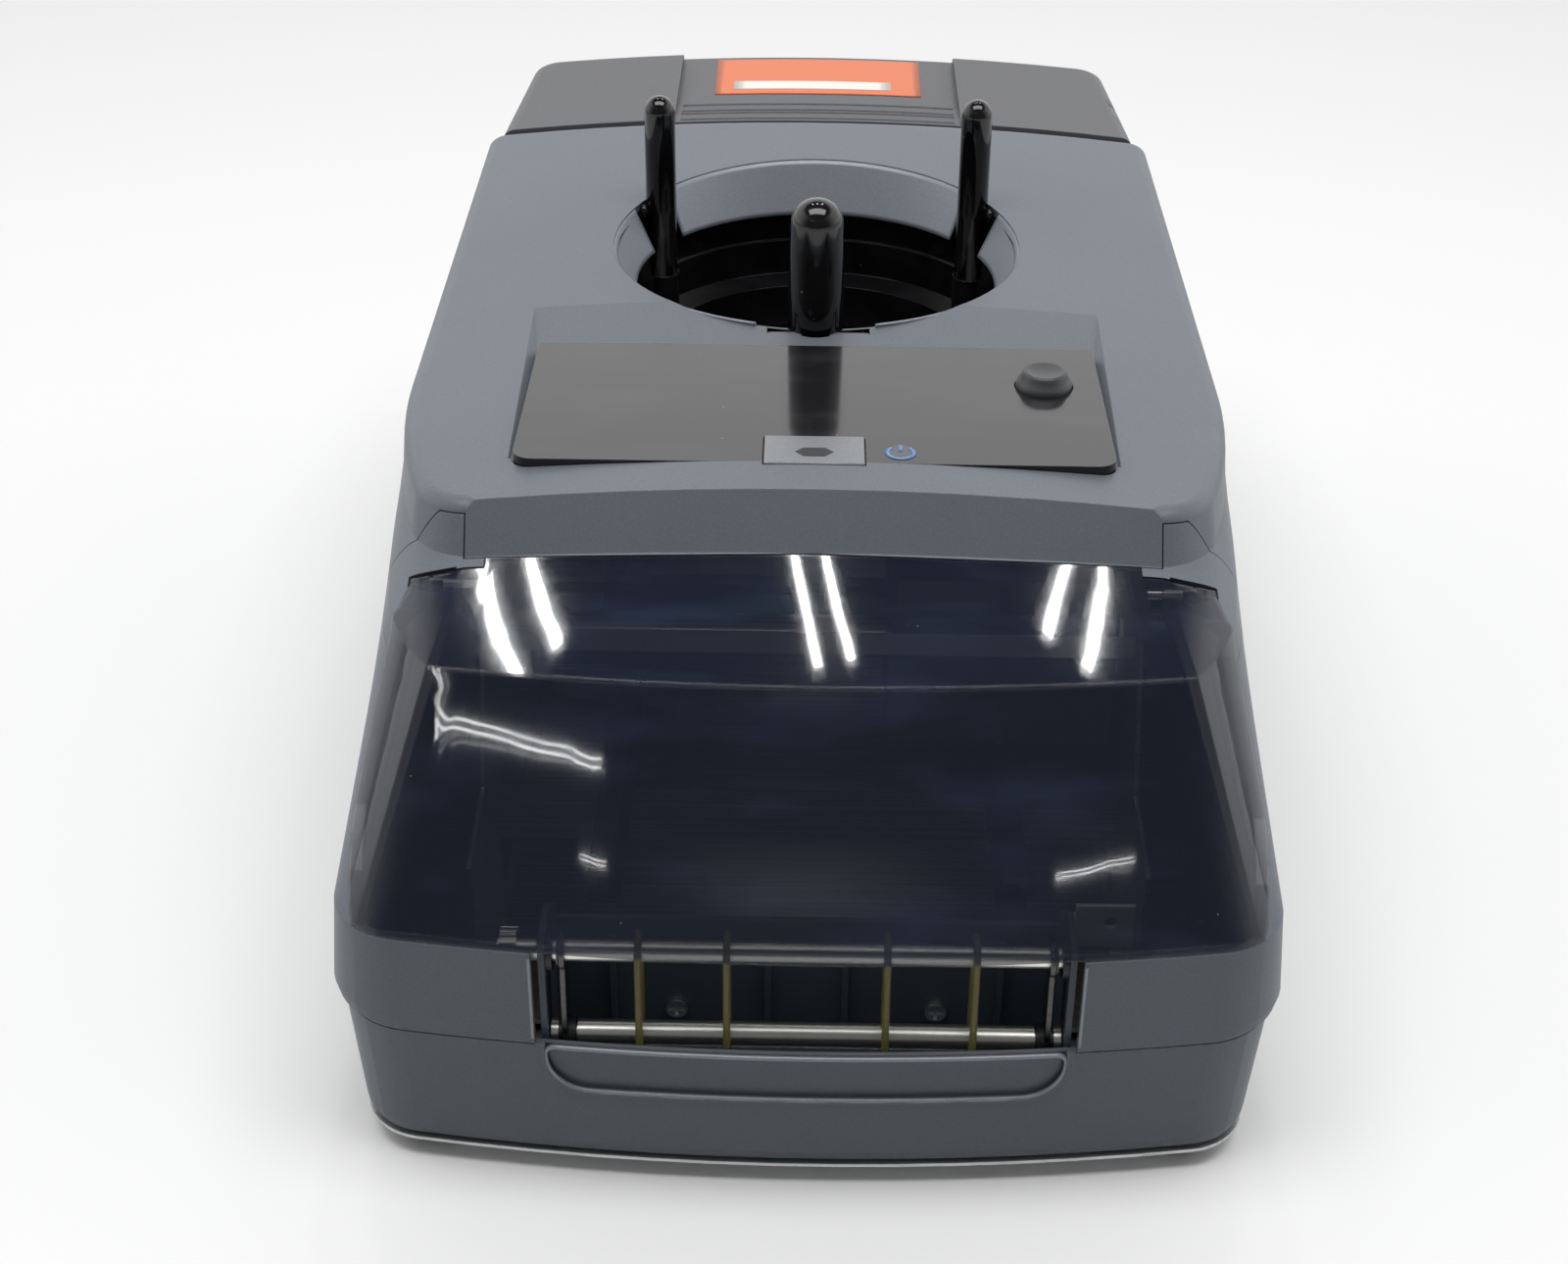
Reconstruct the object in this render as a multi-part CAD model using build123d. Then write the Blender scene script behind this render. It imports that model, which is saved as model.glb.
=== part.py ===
from build123d import *
import math
import os

# Automatic disc label printer. Millimetres, +Z up, front towards -Y.
# The origin is on the table, under the middle of the printer's plan.

# ---------------------------------------------------------------- driving dimensions
WIDTH = 292.0            # across the band, the widest place
DEPTH = 525.0            # front of the band to the back of the lower housing
HALF_W = WIDTH / 2
FRONT = -DEPTH / 2
BACK = DEPTH / 2
WALL = 2.8               # moulded wall
GAP = 0.4                # shut line between covers

FOOT_H = 7.2             # rubber feet
SHEET = 1.2              # base sheet
BASE_TOP = FOOT_H + SHEET
SPLIT_Z = 55.0           # lower housing meets the hood
BAND_TOP = 89.0          # lower edge of the visor
BOW_R = 800.0            # front faces bulge to this radius in plan

HOPPER_Y = 43.5          # hopper centre
TOP_Z = 191.2            # top skin above the hopper centre
TOP_SLOPE = 0.03         # the top skin rises to the back
CROWN_R = 1200.0         # the top skin is crowned across
HOOD_BACK = 165.0
SHOULDER_R = 6.0         # long edges of the top

CREASE_Y, CREASE_Z = -214.4, 155.0      # fold across the visor
STRIP_Y, STRIP_Z = -160.2, 169.0        # lower edge of the painted strip
BROW_Y = -148.7                         # front edge of the top skin

HOPPER_R = 76.5
RING_R, RING_Z = 72.0, 161.2            # step that the posts stand on
DISC_R = 60.0
SEAT_R, SEAT_Z = 61.0, 145.0
POST_TOP = 232.8
REAR_POST = (60.8, 79.0)
FRONT_POST_Y = -26.2

SLOT_HALF = 81.0
SHAFT_Y, SHAFT_Z = -247.0, 82.0         # upper shaft of the exit
ROLL_Y, ROLL_Z = -248.6, 51.5           # lower roller of the exit
BELT_X = (-50.1, -23.8, 23.8, 50.1)

PANEL_Z = 185.4          # face of the control panel
PANEL_BACK, PANEL_FRONT = -43.0, -131.0

HINGE_Y, HINGE_Z = -166.5, 160.0        # visor hinge axis, in line with the strip

EAR_X = 108.0            # hinge caps begin outside the painted strip
EAR_IN = 101.6           # and reach in to here below it
EAR_BACK, EAR_LOW = -149.0, 148.0
PIN_R, BOSS_R = 1.2, 2.4
VISOR_T = 2.6

PANEL_HALF, PANEL_CORNER = 96.0, 6.0
SEAT_FLOOR = 181.4       # floor of the panel's seat
PANEL_SINK = 3.3         # the ramp falls this far below the top skin
RAMP_TOP = -13.5
OK_XY, OK_STEM = (77.0, -72.7), 4.8
LENS_XY, LENS_R = (27.5, -123.5), 5.0
BOARD_Z = 170.0          # panel's circuit board

FOOT_R = 10.5
RECESS_HALF, RECESS_LOW, RECESS_CORNER = 78.0, 36.4, 13.0
GRIP_HALF = 60.5
GRIP_STEPS = (165.0, 175.0, 188.0)
SKIRT_Z = 170.0
REAR_POST_R = 5.65

CHEEK_X = 77.4           # inner faces of the exit's cheeks
SHAFT_R, ROLL_R, JOURNAL_R = 3.5, 4.0, 2.5
ARM_X, ARM_T = 71.8, 1.5
BELT_LOOP, BELT_R = 5.4, 1.1            # centre line of a belt round its shaft

DECK_TOP = 118.5         # deck under the hopper
TRAY_Z = 78.0            # underside of the disc tray
TRAY_T = 5.0
FEED_Y, FEED_R = -5.0, 8.0
ROD_Y, ROD_Z, ROD_R = -120.0, 118.0, 4.0        # carriage guide rod
CARRIAGE_X = 62.0        # carriage parked at the right
PULLEY_X, PULLEY_Z, PULLEY_R = 86.0, 106.0, 6.0
PLATE_X = 104.0          # inner faces of the chassis side plates
INLET = (-78.0, -52.0, 25.0, 45.0)      # x0, x1, z0, z1 of the openings in the back
USB = (-104.0, -90.0, 28.0, 42.0)

BASE = (Align.CENTER, Align.CENTER, Align.MIN)

os.makedirs("parts", exist_ok=True)


def save(name, shape):
    """Write one node."""
    shape.label = name
    export_step(shape, "parts/" + name + ".step")


def box(x0, x1, y0, y1, z0, z1):
    """Block between two corners."""
    block = Box(x1 - x0, y1 - y0, z1 - z0, align=(Align.MIN, Align.MIN, Align.MIN))
    return Pos(x0, y0, z0) * block


def rod_x(radius, x0, x1, y, z):
    """Round bar along X."""
    bar = Cylinder(radius, x1 - x0, align=(Align.CENTER, Align.CENTER, Align.MIN))
    return Pos(x0, y, z) * Rot(0, 90, 0) * bar


def rod_z(radius, x, y, z0, z1):
    """Round bar along Z."""
    bar = Cylinder(radius, z1 - z0, align=(Align.CENTER, Align.CENTER, Align.MIN))
    return Pos(x, y, z0) * bar


def rod_y(radius, x, y0, y1, z):
    """Round bar along Y."""
    bar = Cylinder(radius, y1 - y0, align=(Align.CENTER, Align.CENTER, Align.MIN))
    return Pos(x, y0, z) * Rot(-90, 0, 0) * bar


def both_sides(solid):
    """The solid and its mirror image across the middle plane."""
    return solid + mirror(solid, about=Plane.YZ)


# ---------------------------------------------------------------- outer form of the covers
def half_outline(cheek, border, middle, side_x, side_y, back, corner, z):
    """Edges of the right half of a plan outline, from the front to the back.

    The side runs straight from the back to side_y, turns gently to middle, tighter
    to border, and reaches cheek, where the bowed front begins."""
    turn = 2 * math.atan2(side_x - middle[0], side_y - middle[1])
    heading = (-math.sin(turn), -math.cos(turn), 0)
    edges = [Line(cheek, border)]
    middle_3d = (middle[0], middle[1], z)
    edges.append(TangentArc(middle_3d, border, tangent=heading))
    if turn > 1e-6:
        edges.append(TangentArc((side_x, side_y, z), middle_3d, tangent=(0, -1, 0)))
    else:
        edges.append(Line(middle_3d, (side_x, side_y, z)))
    start = (side_x, side_y, z)
    edges.append(Line(start, (side_x, back - corner, z)))
    slant = corner * (1 - math.sqrt(0.5))
    edges.append(ThreePointArc((side_x, back - corner, z), (side_x - slant, back - slant, z),
                               (side_x - corner, back, z)))
    return edges


def outline(front, cheek, border, middle, side_x, side_y, back, corner, z):
    """Closed plan outline of the hood at one level."""
    right = half_outline(cheek, border, middle, side_x, side_y, back, corner, z)
    left = [edge.mirror(Plane.YZ) for edge in right]
    bow = ThreePointArc(cheek, front, (-cheek[0], cheek[1], cheek[2]))
    rear = Line((side_x - corner, back, z), (corner - side_x, back, z))
    return Wire([bow, rear] + right + left)


def band_level(z, side_x, corner, inset, back, back_corner):
    """Outline with a round front corner, used from the table up to the visor."""
    half = side_x - inset
    radius = corner - inset
    front = FRONT + inset
    bow = BOW_R - inset
    centre_x = half - radius
    centre_y = front + bow - math.sqrt((bow - radius) ** 2 - centre_x ** 2)
    reach = bow / (bow - radius)
    cheek = (centre_x * reach, front + bow + (centre_y - front - bow) * reach, z)
    angle = math.radians(-50)
    border = (centre_x + radius * math.cos(angle), centre_y + radius * math.sin(angle), z)
    middle = (half, centre_y)
    low = math.atan2(cheek[1] - centre_y, cheek[0] - centre_x)
    half_way = (low + angle) / 2
    arc = ThreePointArc(cheek, (centre_x + radius * math.cos(half_way),
                                centre_y + radius * math.sin(half_way), z), border)
    right = half_outline(cheek, border, middle, half, -60.0, back - inset,
                         back_corner - inset, z)
    right[0] = arc
    left = [edge.mirror(Plane.YZ) for edge in right]
    face_bow = ThreePointArc(cheek, (0, front, z), (-cheek[0], cheek[1], z))
    rear_x = half - (back_corner - inset)
    rear = Line((rear_x, back - inset, z), (-rear_x, back - inset, z))
    return Wire([face_bow, rear] + right + left)


def hood_sections(inset):
    """Plan outlines of the hood from its lower edge to above the top skin."""
    back, corner = HOOD_BACK - inset, 8.0
    sections = []
    if inset == 0:
        sections.append(band_level(SPLIT_Z, HALF_W - 3.4, 25.0, 0, HOOD_BACK, corner))
        sections.append(band_level(SPLIT_Z + 1.2, HALF_W - 1.2, 26.0, 0, HOOD_BACK, corner))
    else:
        sections.append(band_level(SPLIT_Z - 3, HALF_W, 27.0, inset + 2.2, HOOD_BACK, corner))
    sections.append(band_level(SPLIT_Z + 4.5, HALF_W, 27.0, inset, HOOD_BACK, corner))
    z = BAND_TOP - 0.32 * inset
    sections.append(band_level(z, HALF_W - 3, 25.0, inset, HOOD_BACK, corner))
    corner = corner - inset
    y, z = CREASE_Y + 0.59 * inset, CREASE_Z - 0.88 * inset
    sections.append(outline((0, y, z), (104 - inset, y + 6.8, z), (114 - inset, y + 8.2, z),
                            (131.5 - inset, -165 + 0.5 * inset), 139.4 - inset, -60.0,
                            back, corner, z))
    y, z = STRIP_Y + 0.6 * inset, STRIP_Z - 0.88 * inset
    sections.append(outline((0, y, z), (98 - inset, y + 0.2, z - 2.8), (108 - inset, y + 0.2, z - 3.4),
                            (127 - inset, -143 + 0.5 * inset), 138.9 - inset, -60.0,
                            back, corner, z - 3.4))
    y, z = BROW_Y + 20.7 + 1.22 * inset, 215.0
    sections.append(outline((0, y, z), (98 - inset, y + 0.4, z), (108 - inset, y + 0.8, z),
                            (121 - inset, -115.0), 136.9 - inset, -60.0, back, corner, z))
    return sections


def top_z(x, y):
    """Height of the top skin."""
    return TOP_Z + TOP_SLOPE * (y - HOPPER_Y) - (CROWN_R - math.sqrt(CROWN_R ** 2 - x ** 2))


def above_top(drop):
    """Everything above the top skin lowered by drop."""
    half = 175.0
    sag = CROWN_R - math.sqrt(CROWN_R ** 2 - half ** 2)
    arc = ThreePointArc((-half, 0, -sag), (0, 0, 0), (half, 0, -sag))
    lid = Polyline((half, 0, -sag), (half, 0, 60), (-half, 0, 60), (-half, 0, -sag))
    block = extrude(make_face(arc.edges() + lid.edges()), amount=700, dir=(0, 1, 0))
    tilt = math.degrees(math.atan(TOP_SLOPE))
    return Pos(0, HOPPER_Y, TOP_Z - drop) * Rot(tilt, 0, 0) * Pos(0, -350, 0) * block


def hood_form(inset):
    """Solid inside the hood's skin, at a depth of inset."""
    body = Solid.make_loft(hood_sections(inset), True)
    return body - above_top(inset)


def shoulder_edges(body, back_limit):
    """Long edges where the top skin meets the sides."""
    found = []
    for edge in body.edges():
        middle = edge @ 0.5
        on_top = abs(middle.Z - top_z(middle.X, middle.Y)) < 0.5
        if on_top and abs(middle.X) > 112 and edge.length > 3 and middle.Y < back_limit:
            found.append(edge)
    return found


def prism_x(points, x0, x1):
    """Y-Z polygon extruded from x0 to x1."""
    corners = [(x0, y, z) for y, z in points]
    face = make_face(Polyline(*corners, close=True).edges())
    return extrude(face, amount=x1 - x0, dir=(1, 0, 0))


def prism_y(points, y0, y1):
    """X-Z polygon extruded from y0 to y1."""
    corners = [(x, y0, z) for x, z in points]
    face = make_face(Polyline(*corners, close=True).edges())
    return extrude(face, amount=y1 - y0, dir=(0, 1, 0))


def biggest(shape):
    """The largest solid of a shape."""
    return max(shape.solids(), key=lambda solid: solid.volume)


def visor_region(shut):
    """Space of the visor, ahead of its rear seam; shut is the shut line kept from the seam."""
    seam = [(-246, BAND_TOP + shut), (-233 - shut, 99.5), (-216 - shut, 111.5),
            (-205 - shut, 124), (-195 - shut, 136.5), (-185 - shut, 149), (-176 - shut, 156.5),
            (HINGE_Y - 0.5 - shut, 160.5), (HINGE_Y - 0.5 - shut, 220)]
    region = prism_x([(-300, BAND_TOP + shut)] + seam + [(-300, 220)], -150, 150)
    return region + hinge_sweep(shut)


def hinge_sweep(shut):
    """Barrel round the hinge axis in which the visor's top edge turns."""
    half = [(0, 10.9), (98, 8.75), (EAR_IN, 8.6), (EAR_IN, 5.4), (108, 5.0), (114, 3.8), (120, 2.6),
            (124.5, 1.6)]
    if shut:
        half = [(x - shut if x else x, r - shut) for x, r in half]
    profile = Polyline((0, 0), *half, (half[-1][0], 0), close=True)
    barrel = revolve(make_face(profile.edges()), axis=Axis.X)
    barrel = Pos(0, HINGE_Y, HINGE_Z) * barrel
    return barrel + mirror(barrel, about=Plane.YZ)


def above_ramp():
    """Everything above the crowned ramp that leads down to the control panel."""
    half = 150.0
    sag = CROWN_R - math.sqrt(CROWN_R ** 2 - half ** 2)
    arc = ThreePointArc((-half, 0, -sag), (0, 0, 0), (half, 0, -sag))
    lid = Polyline((half, 0, -sag), (half, 0, 40), (-half, 0, 40), (-half, 0, -sag))
    block = extrude(make_face(arc.edges() + lid.edges()), amount=160, dir=(0, 1, 0))
    fall = TOP_SLOPE + PANEL_SINK / (RAMP_TOP - PANEL_BACK)
    block = Rot(math.degrees(math.atan(fall)), 0, 0) * Pos(0, -110, 0) * block
    return Pos(0, RAMP_TOP, top_z(0, RAMP_TOP)) * block


def panel_recess():
    """Seat of the control panel, its sloping flanks and the ramp behind it."""
    seat = panel_outline(PANEL_HALF + 0.3, 0.3, SEAT_FLOOR, 210)
    low, high = SEAT_FLOOR, SEAT_FLOOR + 12
    trough = [(-PANEL_HALF - 1, low), (-PANEL_HALF - 13, high), (PANEL_HALF + 13, high),
              (PANEL_HALF + 1, low)]
    flanks = prism_y(trough, PANEL_FRONT + 6, PANEL_BACK)
    ramp = prism_y(trough, PANEL_BACK - 0.2, RAMP_TOP + 6) & above_ramp()
    return seat + flanks + ramp


def panel_outline(half, room, z0, z1):
    """Control panel's plan with round corners, as a block."""
    block = box(-half, half, PANEL_FRONT - room, PANEL_BACK + room, z0, z1)
    front = []
    rear = []
    for edge in block.edges():
        middle = edge @ 0.5
        if abs(middle.Z - (z0 + z1) / 2) < 0.01:
            if middle.Y < -100:
                front.append(edge)
            else:
                rear.append(edge)
    block = fillet(front, PANEL_CORNER)
    rear = [edge for edge in block.edges() if abs((edge @ 0.5).Z - (z0 + z1) / 2) < 0.01
            and (edge @ 0.5).Y > -100 and edge.length > z1 - z0 - 0.01
            and abs(abs((edge @ 0.5).X) - half) < 0.01]
    return fillet(rear, 1.5)


# ---------------------------------------------------------------- covers
def housing_levels(inset):
    """Plan outlines of the lower housing, from the base sheet up."""
    levels = ((BASE_TOP, 6.5), (BASE_TOP + 1.5, 4.3), (BASE_TOP + 5, 3.2), (SPLIT_Z - GAP, 0.0))
    return [band_level(z, HALF_W - 3.4, 25.0, in_ + inset, BACK, 26.0) for z, in_ in levels]


def u_block(half, low, high, corner):
    """Front panel outline with round lower corners, as a block through the front wall."""
    block = box(-half, half, FRONT - 8, FRONT + 14, low, high)
    edges = [edge for edge in block.edges() if abs((edge @ 0.5).Z - low) < 0.01
             and abs(abs((edge @ 0.5).X) - half) < 0.01]
    return fillet(edges, corner)


def build_base_plate():
    """Sheet steel floor with folded-up lip just inside the lower housing."""
    plate = Solid.make_loft([band_level(z, HALF_W - 3.4, 25.0, 3.6, BACK, 26.0)
                             for z in (FOOT_H, BASE_TOP - 0.05)], True)
    for index in range(6):
        y = -120 + index * 34
        plate = plate - box(-60, -20, y, y + 6, 0, 20) - box(20, 60, y, y + 6, 0, 20)
    return plate


def build_foot(x, y):
    """Domed rubber foot with a small flat underneath."""
    dome = Pos(x, y, FOOT_R * 1.25 - 0.7) * Sphere(FOOT_R * 1.25)
    return biggest(rod_z(FOOT_R, x, y, 0, FOOT_H) & dome)


def build_lower_housing():
    """Tapered lower housing with the U-shaped front recess and its raised rim."""
    body = Solid.make_loft(housing_levels(0), True)
    inner = [band_level(z, HALF_W - 3.4, 25.0, in_ + WALL, BACK, 26.0)
             for z, in_ in ((BASE_TOP - 1, 6.5), (BASE_TOP + 5, 3.2), (SPLIT_Z + 2, 0.0))]
    body = body - Solid.make_loft(inner, True)
    proud = Solid.make_loft(housing_levels(-0.6), True)
    sunk = Solid.make_loft(housing_levels(1.6), True)
    rim = (u_block(RECESS_HALF + 1.4, RECESS_LOW - 1.4, SPLIT_Z - GAP, RECESS_CORNER + 1.4) & proud)
    body = body + (rim - sunk)
    body = body - (u_block(RECESS_HALF, RECESS_LOW, SPLIT_Z + 5, RECESS_CORNER) - sunk)
    for x0, x1, z0, z1 in (INLET, USB):
        body = body - box(x0, x1, BACK - 12, BACK + 5, z0, z1)
    return body


def build_hood():
    """Upper housing: band, crowned top, hopper mouth, panel seat and painted strip."""
    solid = hood_form(0)
    solid = fillet(shoulder_edges(solid, 158), SHOULDER_R)
    body = solid - hood_form(WALL)
    body = body + (box(-108, 108, PANEL_FRONT - 6, -20, SEAT_FLOOR - 3, 200) & solid)
    skirt = rod_z(HOPPER_R + WALL, 0, HOPPER_Y, SKIRT_Z, 188)
    body = body + (skirt & box(-90, 90, REAR_POST[1] + 5, 140, 150, 210))
    body = body - panel_recess()
    body = body - rod_z(HOPPER_R, 0, HOPPER_Y, 150, 210)
    body = body - rod_z(11.4, 0, FRONT_POST_Y, 150, 210)
    body = body - box(-17, 19, HOPPER_Y - HOPPER_R - 1.8, -20, 175, 200)
    body = body - box(-16.4, 16.4, PANEL_FRONT - 2.4, -113.6, 170, 192)
    body = body - rod_z(OK_STEM + 0.4, *OK_XY, 170, 186)
    body = body - visor_region(0)
    body = body - both_sides(ear_zone(0))
    body = body - box(-SLOT_HALF, SLOT_HALF, FRONT - 5, FRONT + 25, 40, BAND_TOP + 2)
    body = body - box(-124, 124, HOOD_BACK - 5, HOOD_BACK + 5, 40, 182)
    for x in (-88, 88):
        for y in (-120, -56):
            body = body + rod_z(3.2, x, y, BOARD_Z + 1.6, SEAT_FLOOR - 2.5)
    return biggest(body)


def ear_zone(shut):
    """Space of the right hinge cap at the visor's upper corner."""
    block = box(EAR_X + shut, 160, -200, EAR_BACK - shut, EAR_LOW + shut, 230)
    tab = box(EAR_IN, EAR_X + shut + 0.1, -172, STRIP_Y - shut, EAR_LOW + shut, 168)
    return block - above_top(3.4 + shut) + tab


def corner_clearance():
    """Cone round the hinge axis that the visor's upper corner turns in."""
    profile = Polyline((110, 0), (110, 5.2), (114, 4.4), (120, 3.2), (124.9, 2.2), (124.9, 0),
                       close=True)
    return Pos(0, HINGE_Y, HINGE_Z) * revolve(make_face(profile.edges()), axis=Axis.X)


def build_ear():
    """Painted cap over the visor's hinge, with the hinge boss and its arm inside."""
    shell = (hood_form(0) - hood_form(WALL)) & ear_zone(GAP)
    shell = shell - visor_region(0) - corner_clearance()
    boss = rod_x(BOSS_R, EAR_X + 0.6, 115, HINGE_Y, HINGE_Z)
    arm = prism_x([(HINGE_Y - 2, HINGE_Z), (HINGE_Y - 2, HINGE_Z - 7), (HINGE_Y + 18, HINGE_Z - 7),
                   (HINGE_Y + 18, HINGE_Z + 10), (HINGE_Y + 9, HINGE_Z), (HINGE_Y + 5.5, HINGE_Z - 3.2),
                   (HINGE_Y + 2, HINGE_Z - 3.2), (HINGE_Y + 2, HINGE_Z)], EAR_X + 0.6, 113)
    body = biggest(shell) + ((boss + arm) & hood_form(0.6))
    body = body - rod_x(PIN_R + 0.05, EAR_X, 114.1, HINGE_Y, HINGE_Z)
    return biggest(body)


def build_visor():
    """Smoked wrap-round visor with a fold across it and two hinge lugs."""
    body = biggest((hood_form(0) - hood_form(VISOR_T)) & visor_region(GAP))
    lug = rod_x(3.2, 103, 107.4, HINGE_Y, HINGE_Z)
    foot = prism_x([(HINGE_Y, HINGE_Z - 3.2), (HINGE_Y, HINGE_Z + 1), (HINGE_Y - 1, HINGE_Z + 5),
                    (HINGE_Y - 14, HINGE_Z + 2), (HINGE_Y - 14, HINGE_Z - 4)], 103, 107.4)
    lug = (lug + foot) & hood_form(0.5)
    body = body + both_sides(lug)
    body = body - both_sides(rod_x(BOSS_R + 0.3, EAR_X + 0.2, 118, HINGE_Y, HINGE_Z))
    body = body - both_sides(rod_x(PIN_R, 100, 109, HINGE_Y, HINGE_Z))
    return biggest(body)


def build_rear_cover():
    """Narrower cover behind the hood with a stepped grip recess and vents."""
    body = rear_form(0)
    body = body - rear_form(WALL)
    floor = rear_form(0) & box(-GRIP_HALF - 2.6, GRIP_HALF + 2.6, HOOD_BACK, 262, 150, 210)
    body = body + (floor & above_top(7.6))
    for index, start in enumerate(GRIP_STEPS):
        cut = above_top(1.2 * (index + 1)) & box(-GRIP_HALF, GRIP_HALF, start, 300, 150, 230)
        body = body - cut
    for index in range(9):
        x = -64 + index * 16
        body = body - box(x - 1.6, x + 1.6, 235, 275, 92, 128)
    return biggest(body)


def rear_form(inset):
    """Solid inside the rear cover's skin, at a depth of inset."""
    front = HOOD_BACK + GAP - (4 if inset else 0)
    low_z = SPLIT_Z + 0.2 - (4 if inset else 0)
    low = plan_ring(front, BACK - 1.5 - inset, 140.5 - inset, 138.0 - inset, 14.0 - inset, low_z)
    high = plan_ring(front, 248.3 - inset, 132.0 - inset, 126.0 - inset, 12.0 - inset, 212.0)
    body = Solid.make_loft([low, high], True) - above_top(inset)
    if inset:
        return body
    return fillet(shoulder_edges(body, 230), SHOULDER_R)


def plan_ring(front, back, front_half, back_half, corner, z):
    """Four-sided plan outline with round back corners."""
    slant = corner * (1 - math.sqrt(0.5))
    side = (back_half, back - corner, z)
    arc_mid = (back_half - slant, back - slant, z)
    end = (back_half - corner, back, z)
    edges = [Line((front_half, front, z), side), ThreePointArc(side, arc_mid, end)]
    left = [edge.mirror(Plane.YZ) for edge in edges]
    rear = Line(end, (-end[0], end[1], z))
    front_line = Line((-front_half, front, z), (front_half, front, z))
    return Wire([front_line, rear] + edges + left)


# ---------------------------------------------------------------- hopper
def build_funnel():
    """Turned black funnel with the posts' bosses and the disc's way through."""
    half = [(75.0, 186.5), (RING_R, RING_Z), (70.5, RING_Z), (70.5, 147), (SEAT_R, SEAT_Z),
            (SEAT_R, 128), (SEAT_R + 2, 128), (SEAT_R + 2, 143.2), (72.5, 145.2), (72.5, 159.4),
            (74.0, 159.8), (76.2, 180), (76.2, 186.5)]
    profile = Polyline(*[(r, 0, z) for r, z in half], close=True)
    body = Pos(0, HOPPER_Y, 0) * revolve(make_face(profile.edges()), axis=Axis.Z)
    for x in (-REAR_POST[0], REAR_POST[0]):
        body = body + rod_z(6.6, x, REAR_POST[1], DECK_TOP, RING_Z)
    body = body + rod_z(10.2, 0, FRONT_POST_Y, DECK_TOP, RING_Z)
    body = body - rod_z(SEAT_R, 0, HOPPER_Y, 100, 200)
    body = body - rod_z(10.6, 0, FRONT_POST_Y, RING_Z, 200)
    for x in (-REAR_POST[0], REAR_POST[0]):
        body = body - rod_z(6.0, x, REAR_POST[1], RING_Z, 200)
    return biggest(body)


def build_rear_post(x):
    """Slim disc post with a domed top."""
    top = POST_TOP - REAR_POST_R
    post = rod_z(REAR_POST_R, x, REAR_POST[1], RING_Z, top)
    return post + Pos(x, REAR_POST[1], top) * Sphere(REAR_POST_R)


def build_front_post():
    """Thicker front post, slightly tapered, with a domed top and a collar."""
    top = POST_TOP - 6
    post = Pos(0, FRONT_POST_Y, RING_Z) * Cone(9.5, 8.6, top - RING_Z, align=BASE)
    dome = Pos(0, FRONT_POST_Y, top) * Sphere(8.6)
    dome = dome & box(-20, 20, -60, 0, top - 0.01, POST_TOP)
    collar = rod_z(10.3, 0, FRONT_POST_Y, 180.5, 184)
    return biggest(post + dome + collar)


def build_feed_ring():
    """Ring on the deck that the lowest disc lies on."""
    ring = rod_z(63.4, 0, HOPPER_Y, DECK_TOP, 121.5) - rod_z(58.6, 0, HOPPER_Y, 110, 130)
    return ring - rod_z(10.8, 0, FRONT_POST_Y, 110, 130)


def build_separator():
    """Sliding fork that holds back the discs above the lowest."""
    fork = box(-34, 34, 107, 158, 122.4, 124.8) - box(-16, 16, 100, 132, 120, 130)
    return fork - rod_z(62.6, 0, HOPPER_Y, 100, 130)


# ---------------------------------------------------------------- control panel
def build_panel():
    """Flat glossy panel with the notch, the lens seat and the button's hole."""
    plate = panel_outline(PANEL_HALF, 0, SEAT_FLOOR + 0.02, PANEL_Z)
    plate = plate - box(-16.4, 16.4, PANEL_FRONT - 5, -113.6, 170, 200)
    plate = plate - rod_z(9.9, *OK_XY, 170, 200)
    return plate - rod_z(LENS_R, *LENS_XY, PANEL_Z - 2, 200)


def build_power_button():
    """Silver key with a hexagonal window, level with the front of the top."""
    key = box(-16, 16, PANEL_FRONT - 2, -114, 180, PANEL_Z + 1)
    edges = [edge for edge in key.edges() if abs((edge @ 0.5).Z - PANEL_Z - 1) < 0.01]
    key = chamfer(edges, 0.5)
    window = Polyline((-5.6, 0), (-3.4, -3), (3.4, -3), (5.6, 0), (3.4, 3), (-3.4, 3), close=True)
    return key - Pos(0, -125.5, PANEL_Z + 0.2) * extrude(make_face(window.edges()), amount=3)


def build_power_lens():
    """Small clear lens beside the power key."""
    return rod_z(LENS_R, *LENS_XY, PANEL_Z - 2, PANEL_Z + 0.1)


def build_ok_button():
    """Round button: skirt, waist and dished top."""
    half = [(0, 180), (OK_STEM, 180), (OK_STEM, 183.4), (9.5, 183.4), (9.5, 187.0), (8.6, 188.0),
            (7.2, 190.6), (6.8, 191.2), (0, 191.2)]
    profile = Polyline(*[(r, 0, z) for r, z in half], close=True)
    body = revolve(make_face(profile.edges()), axis=Axis.Z)
    body = Pos(OK_XY[0], OK_XY[1], 0) * body
    return body - Pos(OK_XY[0], OK_XY[1], 190.2 + 22) * Sphere(22)


def build_switch(x, y):
    """Small push switch on the panel's board."""
    body = box(x - 6, x + 6, y - 6, y + 6, BOARD_Z + 1.6, BOARD_Z + 5.4)
    return body + rod_z(1.8, x, y, BOARD_Z + 5.4, 178.3)


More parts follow.
